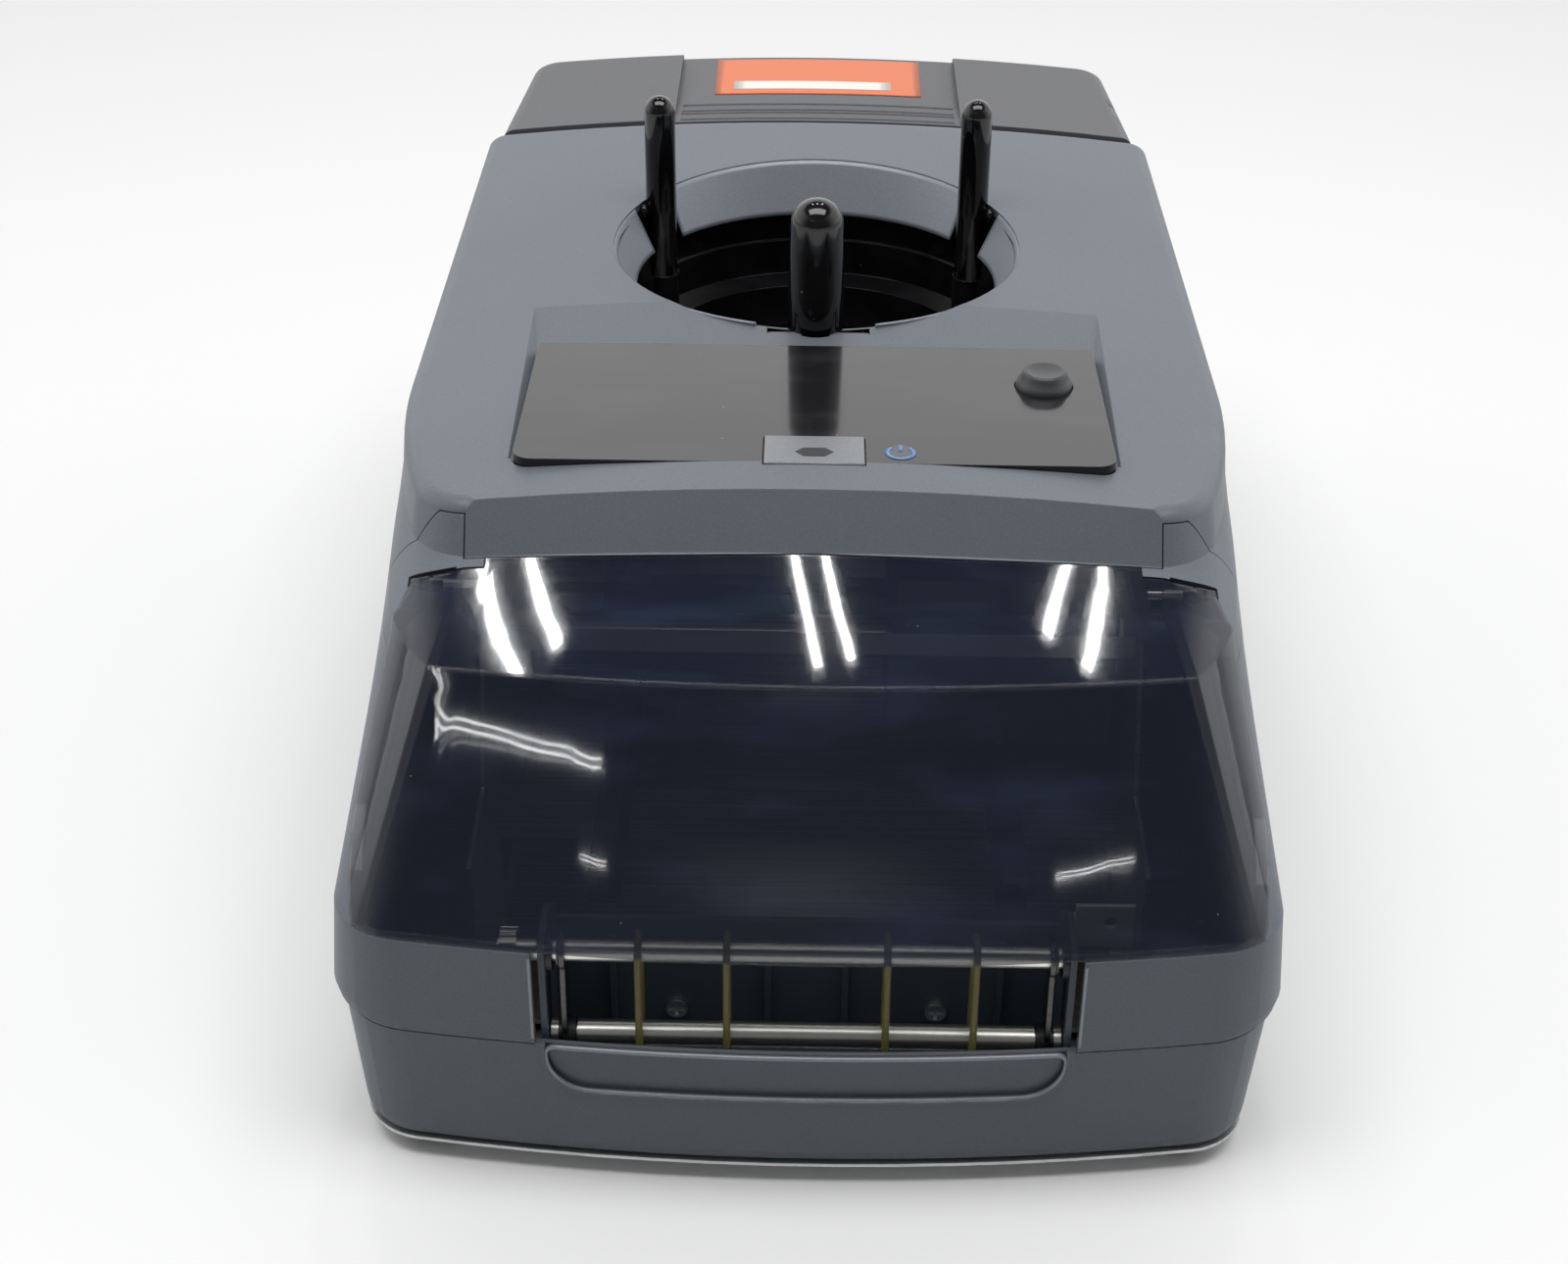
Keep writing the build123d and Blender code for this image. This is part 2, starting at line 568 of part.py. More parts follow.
# ---------------------------------------------------------------- exit mechanism
def build_exit_frame():
    """Black frame round the exit: two cheeks, a back wall and a floor."""
    cheek = prism_x([(-254, 36), (-254.2, 76), (-253.8, 89), (-236, 90), (-222, 80),
                     (-222, 33), (-250, 33)], CHEEK_X, CHEEK_X + 2)
    cheek = cheek - rod_x(5, 70, 90, SHAFT_Y, SHAFT_Z)
    reach = CHEEK_X + 0.8
    wall = box(-reach, reach, -224.5, -222.3, 33.4, 76)
    floor = box(-reach, reach, -249, -223, 33.4, 35.6)
    frame = both_sides(cheek) + wall + floor
    for x in (-60, -12, 12, 60):
        frame = frame + box(x - 1, x + 1, -226.8, -224, 35, 70)
    return frame - both_sides(rod_y(1.7, 40.5, -230, -220, 42))


def build_exit_screws():
    """Two pan-head screws in the back wall."""
    group = []
    for x in (-40.5, 40.5):
        head = rod_y(3.4, x, -226.6, -224.5, 42)
        slot = box(x - 0.5, x + 0.5, -227, -225.6, 39.5, 44.5)
        slot = slot + box(x - 2.5, x + 2.5, -227, -225.6, 41.5, 42.5)
        group.append(head - slot + rod_y(1.65, x, -224.5, -214, 42))
    return Compound(children=group)


def build_shaft_bush(sign):
    """Flanged plain bush of the upper shaft, in its cheek."""
    bush = rod_x(6.4, CHEEK_X - 2, CHEEK_X, SHAFT_Y, SHAFT_Z)
    bush = bush + rod_x(5, CHEEK_X, CHEEK_X + 2.2, SHAFT_Y, SHAFT_Z)
    bush = bush - rod_x(SHAFT_R + 0.05, 70, 90, SHAFT_Y, SHAFT_Z)
    return bush if sign > 0 else mirror(bush, about=Plane.YZ)


def build_drive_shaft():
    """Upper exit shaft with its drive gear outside the left cheek."""
    shaft = rod_x(SHAFT_R, -92, 79.4, SHAFT_Y, SHAFT_Z)
    gear = rod_x(6.5, -91, -86, SHAFT_Y, SHAFT_Z)
    for index in range(16):
        angle = math.radians(22.5 * index)
        y = SHAFT_Y + 6.9 * math.cos(angle)
        z = SHAFT_Z + 6.9 * math.sin(angle)
        gear = gear - rod_x(0.85, -92, -85, y, z)
    return shaft + gear


def build_ring_pair(radius, bore, x0, x1, y, z):
    """Two equal rings, one at each end of a shaft."""
    ring = rod_x(radius, x0, x1, y, z) - rod_x(bore, x0 - 1, x1 + 1, y, z)
    return Compound(children=[ring, mirror(ring, about=Plane.YZ)])


def build_swing_arm(sign):
    """Flat arm that hangs on the upper shaft and carries the roller."""
    arm = rod_x(6.2, ARM_X, ARM_X + ARM_T, SHAFT_Y, SHAFT_Z)
    arm = arm + rod_x(4.9, ARM_X, ARM_X + ARM_T, ROLL_Y, ROLL_Z)
    arm = arm + prism_x([(SHAFT_Y - 4.5, SHAFT_Z), (SHAFT_Y + 4.5, SHAFT_Z), (ROLL_Y + 4.4, ROLL_Z),
                         (ROLL_Y - 4.4, ROLL_Z)], ARM_X, ARM_X + ARM_T)
    arm = arm - rod_x(SHAFT_R + 0.06, 60, 90, SHAFT_Y, SHAFT_Z)
    arm = arm - rod_x(JOURNAL_R + 0.06, 60, 90, ROLL_Y, ROLL_Z)
    return arm if sign > 0 else mirror(arm, about=Plane.YZ)


def build_exit_roller():
    """Lower exit roller with thin journals and end bushes."""
    roller = rod_x(ROLL_R, -69, 69, ROLL_Y, ROLL_Z) + rod_x(JOURNAL_R, -76.9, 76.9, ROLL_Y, ROLL_Z)
    return roller + both_sides(rod_x(4.25, 74.6, 76.9, ROLL_Y, ROLL_Z))


def build_belt(x):
    """Round belt: two half rings and two straight runs."""
    run = math.hypot(ROLL_Y - SHAFT_Y, ROLL_Z - SHAFT_Z)
    ring = Torus(BELT_LOOP, BELT_R)
    upper = ring & Box(40, 40, 40, align=(Align.CENTER, Align.MIN, Align.CENTER))
    lower = Pos(0, -run, 0) * (ring & Box(40, 40, 40, align=(Align.CENTER, Align.MAX, Align.CENTER)))
    bar = Cylinder(BELT_R, run, align=BASE)
    sides = []
    for side in (-BELT_LOOP, BELT_LOOP):
        sides.append(Pos(side, 0, 0) * Rot(90, 0, 0) * bar)
    loop = upper + lower + sides[0] + sides[1]
    lean = math.degrees(math.atan2(ROLL_Y - SHAFT_Y, SHAFT_Z - ROLL_Z))
    loop = Rot(0, 0, 90) * Rot(90, 0, 0) * loop
    return Pos(x, SHAFT_Y, SHAFT_Z) * Rot(lean, 0, 0) * loop


def build_bracket():
    """Pale service bracket beside the exit, seen through the visor."""
    plate = box(CHEEK_X + 2, 97, -240.5, -239.1, 81, 96) - rod_y(2, 90, -250, -230, 90)
    return plate + box(CHEEK_X + 2, CHEEK_X + 3.4, -240.5, -233, 81, 88)


# ---------------------------------------------------------------- inner works
def build_chassis():
    """Folded chassis: floor, two side plates, two cross beams and the hopper's deck."""
    side = prism_x([(-214, 12), (195, 12), (195, DECK_TOP), (-60, DECK_TOP), (-84, 136),
                    (-156, 136), (-176, 90), (-214, 86)], PLATE_X, PLATE_X + 1.5)
    side = side - box(90, 120, 40, 150, 30, 70) - box(90, 120, -150, -40, 30, 70)
    floor = box(-PLATE_X, PLATE_X, -200, 195, 12, 13.5)
    beam = box(-PLATE_X, PLATE_X, -162, -152, 60, 74) - box(-PLATE_X, PLATE_X, -160.5, -153.5, 50, 72.5)
    body = both_sides(side) + floor + beam + Pos(0, 314, 0) * beam
    deck = box(-PLATE_X, PLATE_X, -36, 166, DECK_TOP - 1.5, DECK_TOP)
    body = body + (deck - rod_z(SEAT_R, 0, HOPPER_Y, 100, 130))
    for x in (-70, 70):
        for y in (-180, 180):
            body = body + rod_z(4, x, y, BASE_TOP, 12)
    return body


def build_rail(sign):
    """Channel that one edge of the tray runs in."""
    rail = prism_y([(58, 75.4), (65.5, 75.4), (65.5, 74), (68, 74), (68, 86), (60, 86), (60, 83.5),
                    (65.5, 83.5), (65.5, 77.5), (58, 77.5)], -214, 205)
    return rail if sign > 0 else mirror(rail, about=Plane.YZ)


def build_tray():
    """Disc tray: pocket for one disc, hub boss and two driven tails."""
    tray = box(-65, 65, HOPPER_Y - 70, HOPPER_Y + 70, TRAY_Z, TRAY_Z + TRAY_T)
    tails = box(34, 56, HOPPER_Y + 60, 206, TRAY_Z, TRAY_Z + 3)
    tray = tray + both_sides(tails)
    tray = tray - rod_z(DISC_R + 0.6, 0, HOPPER_Y, TRAY_Z + 3, TRAY_Z + 20)
    tray = tray - rod_z(20, 0, HOPPER_Y, TRAY_Z - 1, TRAY_Z + 20) - rod_z(17, 0, 112, 70, 90)
    hub = rod_z(7.4, 0, HOPPER_Y, TRAY_Z, TRAY_Z + 4.4)
    spokes = box(-22, 22, HOPPER_Y - 3, HOPPER_Y + 3, TRAY_Z, TRAY_Z + 2)
    return tray + hub + spokes


def build_feed_shaft():
    """Shaft with two rubber rollers under the tray."""
    z = TRAY_Z - 0.3 - FEED_R
    shaft = rod_x(3, -103.6, 73.4, FEED_Y, z)
    return shaft + both_sides(rod_x(FEED_R, 39, 51, FEED_Y, z))


def build_carriage():
    """Print carriage: cradle on the guide rod, open on top for two cartridges."""
    x0, x1 = CARRIAGE_X - 37, CARRIAGE_X + 37
    body = box(x0, x1, -146, -94, 90, 138)
    body = body - box(x0 + 2, x0 + 35.5, -143.5, -126.5, 93, 150)
    body = body - box(x0 + 38.5, x1 - 2, -143.5, -126.5, 93, 150)
    body = body - box(x0 + 6, x1 - 6, -111, -94, 84, 112) - box(x0 + 6, x1 - 6, -111, -94, 126, 140)
    return body - rod_x(ROD_R + 0.05, x0 - 1, x1 + 1, ROD_Y, ROD_Z)


def build_cartridge(x0, x1):
    """Ink cartridge standing in the carriage."""
    body = box(x0, x1, -143.2, -126.8, 93.4, 150)
    return body + box(x0 + 8, x1 - 8, -126.8, -122.6, 140, 149)


def build_guide_rod():
    """Ground steel rod between the side plates."""
    return rod_x(ROD_R, -PLATE_X, PLATE_X, ROD_Y, ROD_Z)


def build_pulley(x):
    """Small flanged pulley on a vertical plate."""
    body = rod_y(PULLEY_R, x, -91, -84, PULLEY_Z)
    return body - rod_y(1.55, x, -95, -80, PULLEY_Z)


def build_carriage_belt():
    """Flat belt round the two pulleys."""
    outer = PULLEY_R + 1.5
    inner = PULLEY_R + 0.3
    loop = box(-PULLEY_X, PULLEY_X, -90, -85, PULLEY_Z - outer, PULLEY_Z + outer)
    hollow = box(-PULLEY_X, PULLEY_X, -95, -80, PULLEY_Z - inner, PULLEY_Z + inner)
    for x in (-PULLEY_X, PULLEY_X):
        loop = loop + rod_y(outer, x, -90, -85, PULLEY_Z)
        hollow = hollow + rod_y(inner, x, -95, -80, PULLEY_Z)
    return loop - hollow


def build_carriage_motor():
    """Motor behind the left pulley, with its shaft."""
    body = rod_y(13, -PULLEY_X, -80, -50, PULLEY_Z)
    return body + rod_y(1.5, -PULLEY_X, -91.5, -80, PULLEY_Z)


def build_idler_post():
    """Bracket and pin of the right pulley."""
    bracket = box(PULLEY_X - 4, PLATE_X, -80, -77, PULLEY_Z - 9, PULLEY_Z + 9)
    return bracket + rod_y(1.5, PULLEY_X, -91.5, -80, PULLEY_Z)


def build_inlet():
    """Two-pole power inlet in the back."""
    x0, x1, z0, z1 = INLET
    body = box(x0 + 0.3, x1 - 0.3, BACK - 22, BACK - 0.6, z0 + 0.3, z1 - 0.3)
    middle_x, middle_z = (x0 + x1) / 2, (z0 + z1) / 2
    body = body - box(middle_x - 8, middle_x + 8, BACK - 14, BACK + 1, middle_z - 4, middle_z + 4)
    return body


def build_usb():
    """Square data socket in the back."""
    x0, x1, z0, z1 = USB
    body = box(x0 + 0.3, x1 - 0.3, BACK - 18, BACK - 0.6, z0 + 0.3, z1 - 0.3)
    return body - box(x0 + 2, x1 - 2, BACK - 11, BACK + 1, z0 + 2, z1 - 2)


# ---------------------------------------------------------------- nodes
EAR = build_ear()
save("base_plate", build_base_plate())
for number, (x, y) in enumerate(((-121, -236), (121, -236), (-121, 225), (121, 225)), 1):
    save(f"rubber_foot_{number}", build_foot(x, y))
save("lower_housing", build_lower_housing())
save("upper_housing", build_hood())
save("rear_cover", build_rear_cover())
save("visor", build_visor())
save("hinge_cap_right", EAR)
save("hinge_cap_left", mirror(EAR, about=Plane.YZ))
PIN = rod_x(PIN_R, 103, 114, HINGE_Y, HINGE_Z)
save("hinge_pins", Compound(children=[PIN, mirror(PIN, about=Plane.YZ)]))

save("hopper_funnel", build_funnel())
save("rear_post_left", build_rear_post(-REAR_POST[0]))
save("rear_post_right", build_rear_post(REAR_POST[0]))
save("front_post", build_front_post())
save("feed_ring", build_feed_ring())
save("disc_separator", build_separator())

save("control_panel", build_panel())
save("power_button", build_power_button())
save("power_lens", build_power_lens())
save("ok_button", build_ok_button())
save("panel_board", box(-94, 94, -128, -46, BOARD_Z, BOARD_Z + 1.6))
save("panel_switches", Compound(children=[build_switch(0, -122), build_switch(*OK_XY)]))

save("exit_frame", build_exit_frame())
save("exit_screws", build_exit_screws())
save("shaft_bushes", Compound(children=[build_shaft_bush(-1), build_shaft_bush(1)]))
save("exit_drive_shaft", build_drive_shaft())
save("shaft_clips", build_ring_pair(5.4, SHAFT_R, 73.6, 74.2, SHAFT_Y, SHAFT_Z))
save("swing_arm_left", build_swing_arm(-1))
save("swing_arm_right", build_swing_arm(1))
save("roller_bushes", build_ring_pair(4.7, JOURNAL_R + 0.06, 69.4, ARM_X, ROLL_Y, ROLL_Z))
save("exit_roller", build_exit_roller())
save("roller_clips", build_ring_pair(4.5, JOURNAL_R, 73.7, 74.3, ROLL_Y, ROLL_Z))
for number, x in enumerate(BELT_X, 1):
    save(f"exit_belt_{number}", build_belt(x))
save("service_bracket", build_bracket())

save("chassis", build_chassis())
save("tray_rail_left", build_rail(-1))
save("tray_rail_right", build_rail(1))
save("disc_tray", build_tray())
save("tray_feed_shaft", build_feed_shaft())
save("tray_motor", rod_x(12, 74, 96, FEED_Y, TRAY_Z - 0.3 - FEED_R))
save("carriage", build_carriage())
save("black_cartridge", build_cartridge(CARRIAGE_X - 34.7, CARRIAGE_X - 1.8))
save("colour_cartridge", build_cartridge(CARRIAGE_X + 1.8, CARRIAGE_X + 34.7))
save("guide_rod", build_guide_rod())
save("motor_pulley", build_pulley(-PULLEY_X))
save("idler_pulley", build_pulley(PULLEY_X))
save("carriage_belt", build_carriage_belt())
save("carriage_motor", build_carriage_motor())
save("idler_post", build_idler_post())
save("encoder_strip", box(-PLATE_X, PLATE_X, -150, -149.4, 126, 134))
save("service_station", box(72, 99, -142, -100, 66, 88))
save("main_board", box(-95, 95, 40, 150, 18, 19.6))
save("power_supply", box(-100, 10, 205, 240, 16, 66))
save("power_inlet", build_inlet())
save("data_socket", build_usb())
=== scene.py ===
"""Dresses the disc label printer: finishes for its parts, trim, sticker, studio and camera."""

import logging
import math
from collections.abc import Sequence
from dataclasses import dataclass, field
from enum import Enum

import bmesh
import bpy
import numpy as np
from mathutils import Matrix

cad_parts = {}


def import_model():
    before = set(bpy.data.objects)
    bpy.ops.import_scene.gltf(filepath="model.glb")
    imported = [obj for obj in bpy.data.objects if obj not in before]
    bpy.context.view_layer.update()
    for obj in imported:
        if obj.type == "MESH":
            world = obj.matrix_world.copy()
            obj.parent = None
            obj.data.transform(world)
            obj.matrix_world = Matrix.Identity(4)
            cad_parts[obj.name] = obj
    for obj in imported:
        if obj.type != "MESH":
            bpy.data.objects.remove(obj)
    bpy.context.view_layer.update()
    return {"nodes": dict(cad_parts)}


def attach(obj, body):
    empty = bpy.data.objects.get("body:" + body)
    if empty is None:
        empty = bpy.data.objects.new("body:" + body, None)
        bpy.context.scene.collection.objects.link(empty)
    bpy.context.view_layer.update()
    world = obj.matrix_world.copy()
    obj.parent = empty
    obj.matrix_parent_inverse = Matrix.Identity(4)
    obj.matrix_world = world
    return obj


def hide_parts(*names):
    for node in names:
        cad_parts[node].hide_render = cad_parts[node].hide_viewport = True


MM = 0.001
WELD = 1e-6
PHOTO_WIDTH = 1600
SENSOR = 36.0
NEAR_CLIP = 0.01

log = logging.getLogger("printer")


# ---------------------------------------------------------------- shader helpers
class Shader:
    """A material's node tree with a Principled BSDF, and short ways to add nodes to it."""

    def __init__(self, name: str) -> None:
        """Start a material.

        Args:
            name: the material's name.
        """
        self.material = bpy.data.materials.new(name)
        self.material.use_nodes = True
        self.tree = self.material.node_tree
        self.nodes = self.tree.nodes
        self.bsdf = self.nodes["Principled BSDF"]
        self.place = self.nodes.new("ShaderNodeTexCoord").outputs["Object"]

    def set(self, **values: object) -> None:
        """Set the shader's own sockets, named with underscores for spaces."""
        for name, value in values.items():
            self.bsdf.inputs[name.replace("_", " ")].default_value = value

    def link(self, output: bpy.types.NodeSocket, name: str) -> None:
        """Feed one of the shader's sockets."""
        self.tree.links.new(output, self.bsdf.inputs[name])

    def group(self, tree: bpy.types.NodeTree, **values: object) -> bpy.types.Node:
        """Place a node group that works on the piece's own coordinates.

        Args:
            tree: the group.
            values: its inputs, named with underscores for spaces.

        Returns:
            The group node.
        """
        node = self.nodes.new("ShaderNodeGroup")
        node.node_tree = tree
        self.tree.links.new(self.place, node.inputs["Place"])
        for name, value in values.items():
            socket = node.inputs[name.replace("_", " ")]
            if isinstance(value, bpy.types.NodeSocket):
                self.tree.links.new(value, socket)
            else:
                socket.default_value = value
        return node

    def bump(self, height: bpy.types.NodeSocket, depth: float,
             normal: bpy.types.NodeSocket | None = None) -> bpy.types.NodeSocket:
        """Turn a height into a normal.

        Args:
            height: the height, from 0 to 1.
            depth: the relief in metres.
            normal: a normal to start from.

        Returns:
            The normal's socket.
        """
        node = self.nodes.new("ShaderNodeBump")
        node.inputs["Distance"].default_value = depth
        node.inputs["Strength"].default_value = 1.0
        self.tree.links.new(height, node.inputs["Height"])
        if normal is not None:
            self.tree.links.new(normal, node.inputs["Normal"])
        return node.outputs["Normal"]

    def soft_edge(self, radius: float) -> bpy.types.NodeSocket:
        """Normal that rounds the piece's edges by a small radius in metres."""
        node = self.nodes.new("ShaderNodeBevel")
        node.samples = BEVEL_SAMPLES
        node.inputs["Radius"].default_value = radius
        return node.outputs["Normal"]


def new_group(name: str, inputs: dict[str, tuple[str, object]], outputs: dict[str, str]
              ) -> tuple[bpy.types.NodeTree, bpy.types.Node, bpy.types.Node]:
    """Make an empty shader group.

    Args:
        name: the group's name.
        inputs: socket name to (socket type, default).
        outputs: socket name to socket type.

    Returns:
        The tree, its input node and its output node.
    """
    tree = bpy.data.node_groups.new(name, "ShaderNodeTree")
    for label, (kind, default) in inputs.items():
        socket = tree.interface.new_socket(label, in_out="INPUT", socket_type=kind)
        if default is not None:
            socket.default_value = default
    for label, kind in outputs.items():
        tree.interface.new_socket(label, in_out="OUTPUT", socket_type=kind)
    return tree, tree.nodes.new("NodeGroupInput"), tree.nodes.new("NodeGroupOutput")


class Effects:
    """The shader groups that several finishes share, each built once."""

    def __init__(self) -> None:
        """Build every group."""
        self.grain = self._grain()
        self.dust = self._dust()
        self.brushed = self._brushed()

    @staticmethod
    def _noise(tree: bpy.types.NodeTree, vector: bpy.types.NodeSocket, scale: float,
               detail: float) -> bpy.types.NodeSocket:
        """Noise texture whose factor lies around one half."""
        node = tree.nodes.new("ShaderNodeTexNoise")
        node.inputs["Scale"].default_value = scale
        node.inputs["Detail"].default_value = detail
        tree.links.new(vector, node.inputs["Vector"])
        return node.outputs["Fac"]

    @staticmethod
    def _remap(tree: bpy.types.NodeTree, value: bpy.types.NodeSocket, low: float, high: float,
               to_low: float, to_high: float) -> bpy.types.NodeSocket:
        """Clamped linear remap of a value."""
        node = tree.nodes.new("ShaderNodeMapRange")
        for name, number in (("From Min", low), ("From Max", high), ("To Min", to_low),
                             ("To Max", to_high)):
            node.inputs[name].default_value = number
        tree.links.new(value, node.inputs["Value"])
        return node.outputs["Result"]

    @staticmethod
    def _math(tree: bpy.types.NodeTree, operation: str, first: bpy.types.NodeSocket,
              second: bpy.types.NodeSocket | float) -> bpy.types.NodeSocket:
        """Arithmetic on one socket and another socket or number."""
        node = tree.nodes.new("ShaderNodeMath")
        node.operation = operation
        tree.links.new(first, node.inputs[0])
        if isinstance(second, bpy.types.NodeSocket):
            tree.links.new(second, node.inputs[1])
        else:
            node.inputs[1].default_value = second
        return node.outputs[0]

    def _grain(self) -> bpy.types.NodeTree:
        """Fine grain: the colour wanders by Amount, the height is the grain itself.

        Inputs are Place, Tint, Scale of the grain in cells per metre and Amount."""
        tree, given, out = new_group(
            "grain", {"Place": ("NodeSocketVector", None),
                      "Tint": ("NodeSocketColor", (0.5, 0.5, 0.5, 1)),
                      "Scale": ("NodeSocketFloat", 1500.0), "Amount": ("NodeSocketFloat", 0.1)},
            {"Color": "NodeSocketColor", "Height": "NodeSocketFloat"})
        fine = tree.nodes.new("ShaderNodeTexNoise")
        fine.inputs["Detail"].default_value = 3.0
        tree.links.new(given.outputs["Place"], fine.inputs["Vector"])
        tree.links.new(given.outputs["Scale"], fine.inputs["Scale"])
        broad = self._noise(tree, given.outputs["Place"], 14.0, 3.0)
        fine_part = self._remap(tree, fine.outputs["Fac"], 0.25, 0.75, -1.0, 1.0)
        broad_part = self._remap(tree, broad, 0.3, 0.7, -0.25, 0.25)
        both = self._math(tree, "ADD", fine_part, broad_part)
        swing = self._math(tree, "MULTIPLY", both, given.outputs["Amount"])
        gain = self._math(tree, "ADD", swing, 1.0)
        scale = tree.nodes.new("ShaderNodeVectorMath")
        scale.operation = "SCALE"
        tree.links.new(given.outputs["Tint"], scale.inputs[0])
        tree.links.new(gain, scale.inputs["Scale"])
        tree.links.new(scale.outputs[0], out.inputs["Color"])
        tree.links.new(fine.outputs["Fac"], out.inputs["Height"])
        return tree

    def _dust(self) -> bpy.types.NodeTree:
        """Roughness of a polished skin with faint wipe marks and sparse specks of dust.

        Inputs are Place, Clean and Dull, the roughness of clean and of marked skin; the mask
        is 1 on a speck."""
        tree, given, out = new_group(
            "dust", {"Place": ("NodeSocketVector", None), "Clean": ("NodeSocketFloat", 0.06),
                     "Dull": ("NodeSocketFloat", 0.2)},
            {"Roughness": "NodeSocketFloat", "Mask": "NodeSocketFloat", "Haze": "NodeSocketFloat"})
        stretch = tree.nodes.new("ShaderNodeMapping")
        stretch.inputs["Scale"].default_value = (1.0, 3.0, 3.0)
        tree.links.new(given.outputs["Place"], stretch.inputs["Vector"])
        smear = self._noise(tree, stretch.outputs["Vector"], 22.0, 6.0)
        smear = self._remap(tree, smear, 0.5, 0.75, 0.0, 1.0)
        cells = tree.nodes.new("ShaderNodeTexVoronoi")
        cells.inputs["Scale"].default_value = 95.0
        cells.inputs["Randomness"].default_value = 1.0
        tree.links.new(given.outputs["Place"], cells.inputs["Vector"])
        speck = self._remap(tree, cells.outputs["Distance"], 0.02, 0.035, 1.0, 0.0)
        mix = tree.nodes.new("ShaderNodeMix")
        tree.links.new(smear, mix.inputs["Factor"])
        tree.links.new(given.outputs["Clean"], mix.inputs["A"])
        tree.links.new(given.outputs["Dull"], mix.inputs["B"])
        rough = self._math(tree, "MAXIMUM", mix.outputs["Result"], speck)
        tree.links.new(rough, out.inputs["Roughness"])
        tree.links.new(speck, out.inputs["Mask"])
        tree.links.new(smear, out.inputs["Haze"])
        return tree

    def _brushed(self) -> bpy.types.NodeTree:
        """Fine lines along X, as on a ground or drawn bar."""
        tree, given, out = new_group(
            "brushed", {"Place": ("NodeSocketVector", None),
                        "Tint": ("NodeSocketColor", (0.5, 0.5, 0.5, 1))},
            {"Color": "NodeSocketColor", "Height": "NodeSocketFloat"})
        stretch = tree.nodes.new("ShaderNodeMapping")
        stretch.inputs["Scale"].default_value = (6.0, 900.0, 900.0)
        tree.links.new(given.outputs["Place"], stretch.inputs["Vector"])
        lines = self._noise(tree, stretch.outputs["Vector"], 1.0, 4.0)
        gain = self._remap(tree, lines, 0.3, 0.7, 0.8, 1.15)
        scale = tree.nodes.new("ShaderNodeVectorMath")
        scale.operation = "SCALE"
        tree.links.new(given.outputs["Tint"], scale.inputs[0])
        tree.links.new(gain, scale.inputs["Scale"])
        tree.links.new(scale.outputs[0], out.inputs["Color"])
        tree.links.new(lines, out.inputs["Height"])
        return tree


# ---------------------------------------------------------------- finishes
Colour = tuple[float, float, float, float]
SPECK_TINT: Colour = (0.22, 0.23, 0.25, 1)
HAZE_GAIN = 2.2
COAT_ROUGHNESS = 0.04
BEVEL_SAMPLES = 4


@dataclass(frozen=True)
class PaintFinish:
    """Metallic paint on moulded plastic: fine flakes under a satin film."""

    name: str
    tint: Colour
    metallic: float = 0.30
    roughness: float = 0.42
    specular: float = 0.2
    flake_scale: float = 1500.0
    flake_amount: float = 0.10
    relief: float = 0.006 * MM
    edge_radius: float = 0.5 * MM

    def build(self, effects: Effects) -> bpy.types.Material:
        """Make the material."""
        shader = Shader(self.name)
        grain = shader.group(effects.grain, Tint=self.tint, Scale=self.flake_scale,
                             Amount=self.flake_amount)
        shader.link(grain.outputs["Color"], "Base Color")
        shader.set(Metallic=self.metallic, Roughness=self.roughness,
                   Specular_IOR_Level=self.specular)
        edge = shader.soft_edge(self.edge_radius)
        shader.link(shader.bump(grain.outputs["Height"], self.relief, edge), "Normal")
        return shader.material


@dataclass(frozen=True)
class GlossFinish:
    """Polished moulding with faint wipe marks and a few specks of dust."""

    name: str
    tint: Colour
    clean: float = 0.07
    dull: float = 0.16
    coat: float = 0.6
    alpha: float = 1.0
    edge_radius: float = 0.35 * MM

    def build(self, effects: Effects) -> bpy.types.Material:
        """Make the material."""
        shader = Shader(self.name)
        dust = shader.group(effects.dust, Clean=self.clean, Dull=self.dull)
        mix = shader.nodes.new("ShaderNodeMix")
        mix.data_type = "RGBA"
        mix.inputs["A"].default_value = self.tint
        mix.inputs["B"].default_value = SPECK_TINT
        shader.tree.links.new(dust.outputs["Mask"], mix.inputs["Factor"])
        haze = shader.nodes.new("ShaderNodeMix")
        haze.data_type = "RGBA"
        haze.inputs["B"].default_value = tuple(min(1.0, HAZE_GAIN * part) for part in self.tint)
        shader.tree.links.new(dust.outputs["Haze"], haze.inputs["Factor"])
        shader.tree.links.new(mix.outputs["Result"], haze.inputs["A"])
        shader.link(haze.outputs["Result"], "Base Color")
        shader.link(dust.outputs["Roughness"], "Roughness")
        shader.set(Coat_Weight=self.coat, Coat_Roughness=COAT_ROUGHNESS, Alpha=self.alpha)
        shader.link(shader.soft_edge(self.edge_radius), "Normal")
        return shader.material


@dataclass(frozen=True)
class MouldedFinish:
    """Plain moulded plastic or rubber with a fine spark-eroded grain."""

    name: str
    tint: Colour
    roughness: float = 0.5
    grain_scale: float = 1800.0
    grain_amount: float = 0.12
    relief: float = 0.02 * MM
    edge_radius: float = 0.25 * MM

    def build(self, effects: Effects) -> bpy.types.Material:
        """Make the material."""
        shader = Shader(self.name)
        grain = shader.group(effects.grain, Tint=self.tint, Scale=self.grain_scale,
                             Amount=self.grain_amount)
        shader.link(grain.outputs["Color"], "Base Color")
        shader.set(Roughness=self.roughness)
        edge = shader.soft_edge(self.edge_radius)
        shader.link(shader.bump(grain.outputs["Height"], self.relief, edge), "Normal")
        return shader.material


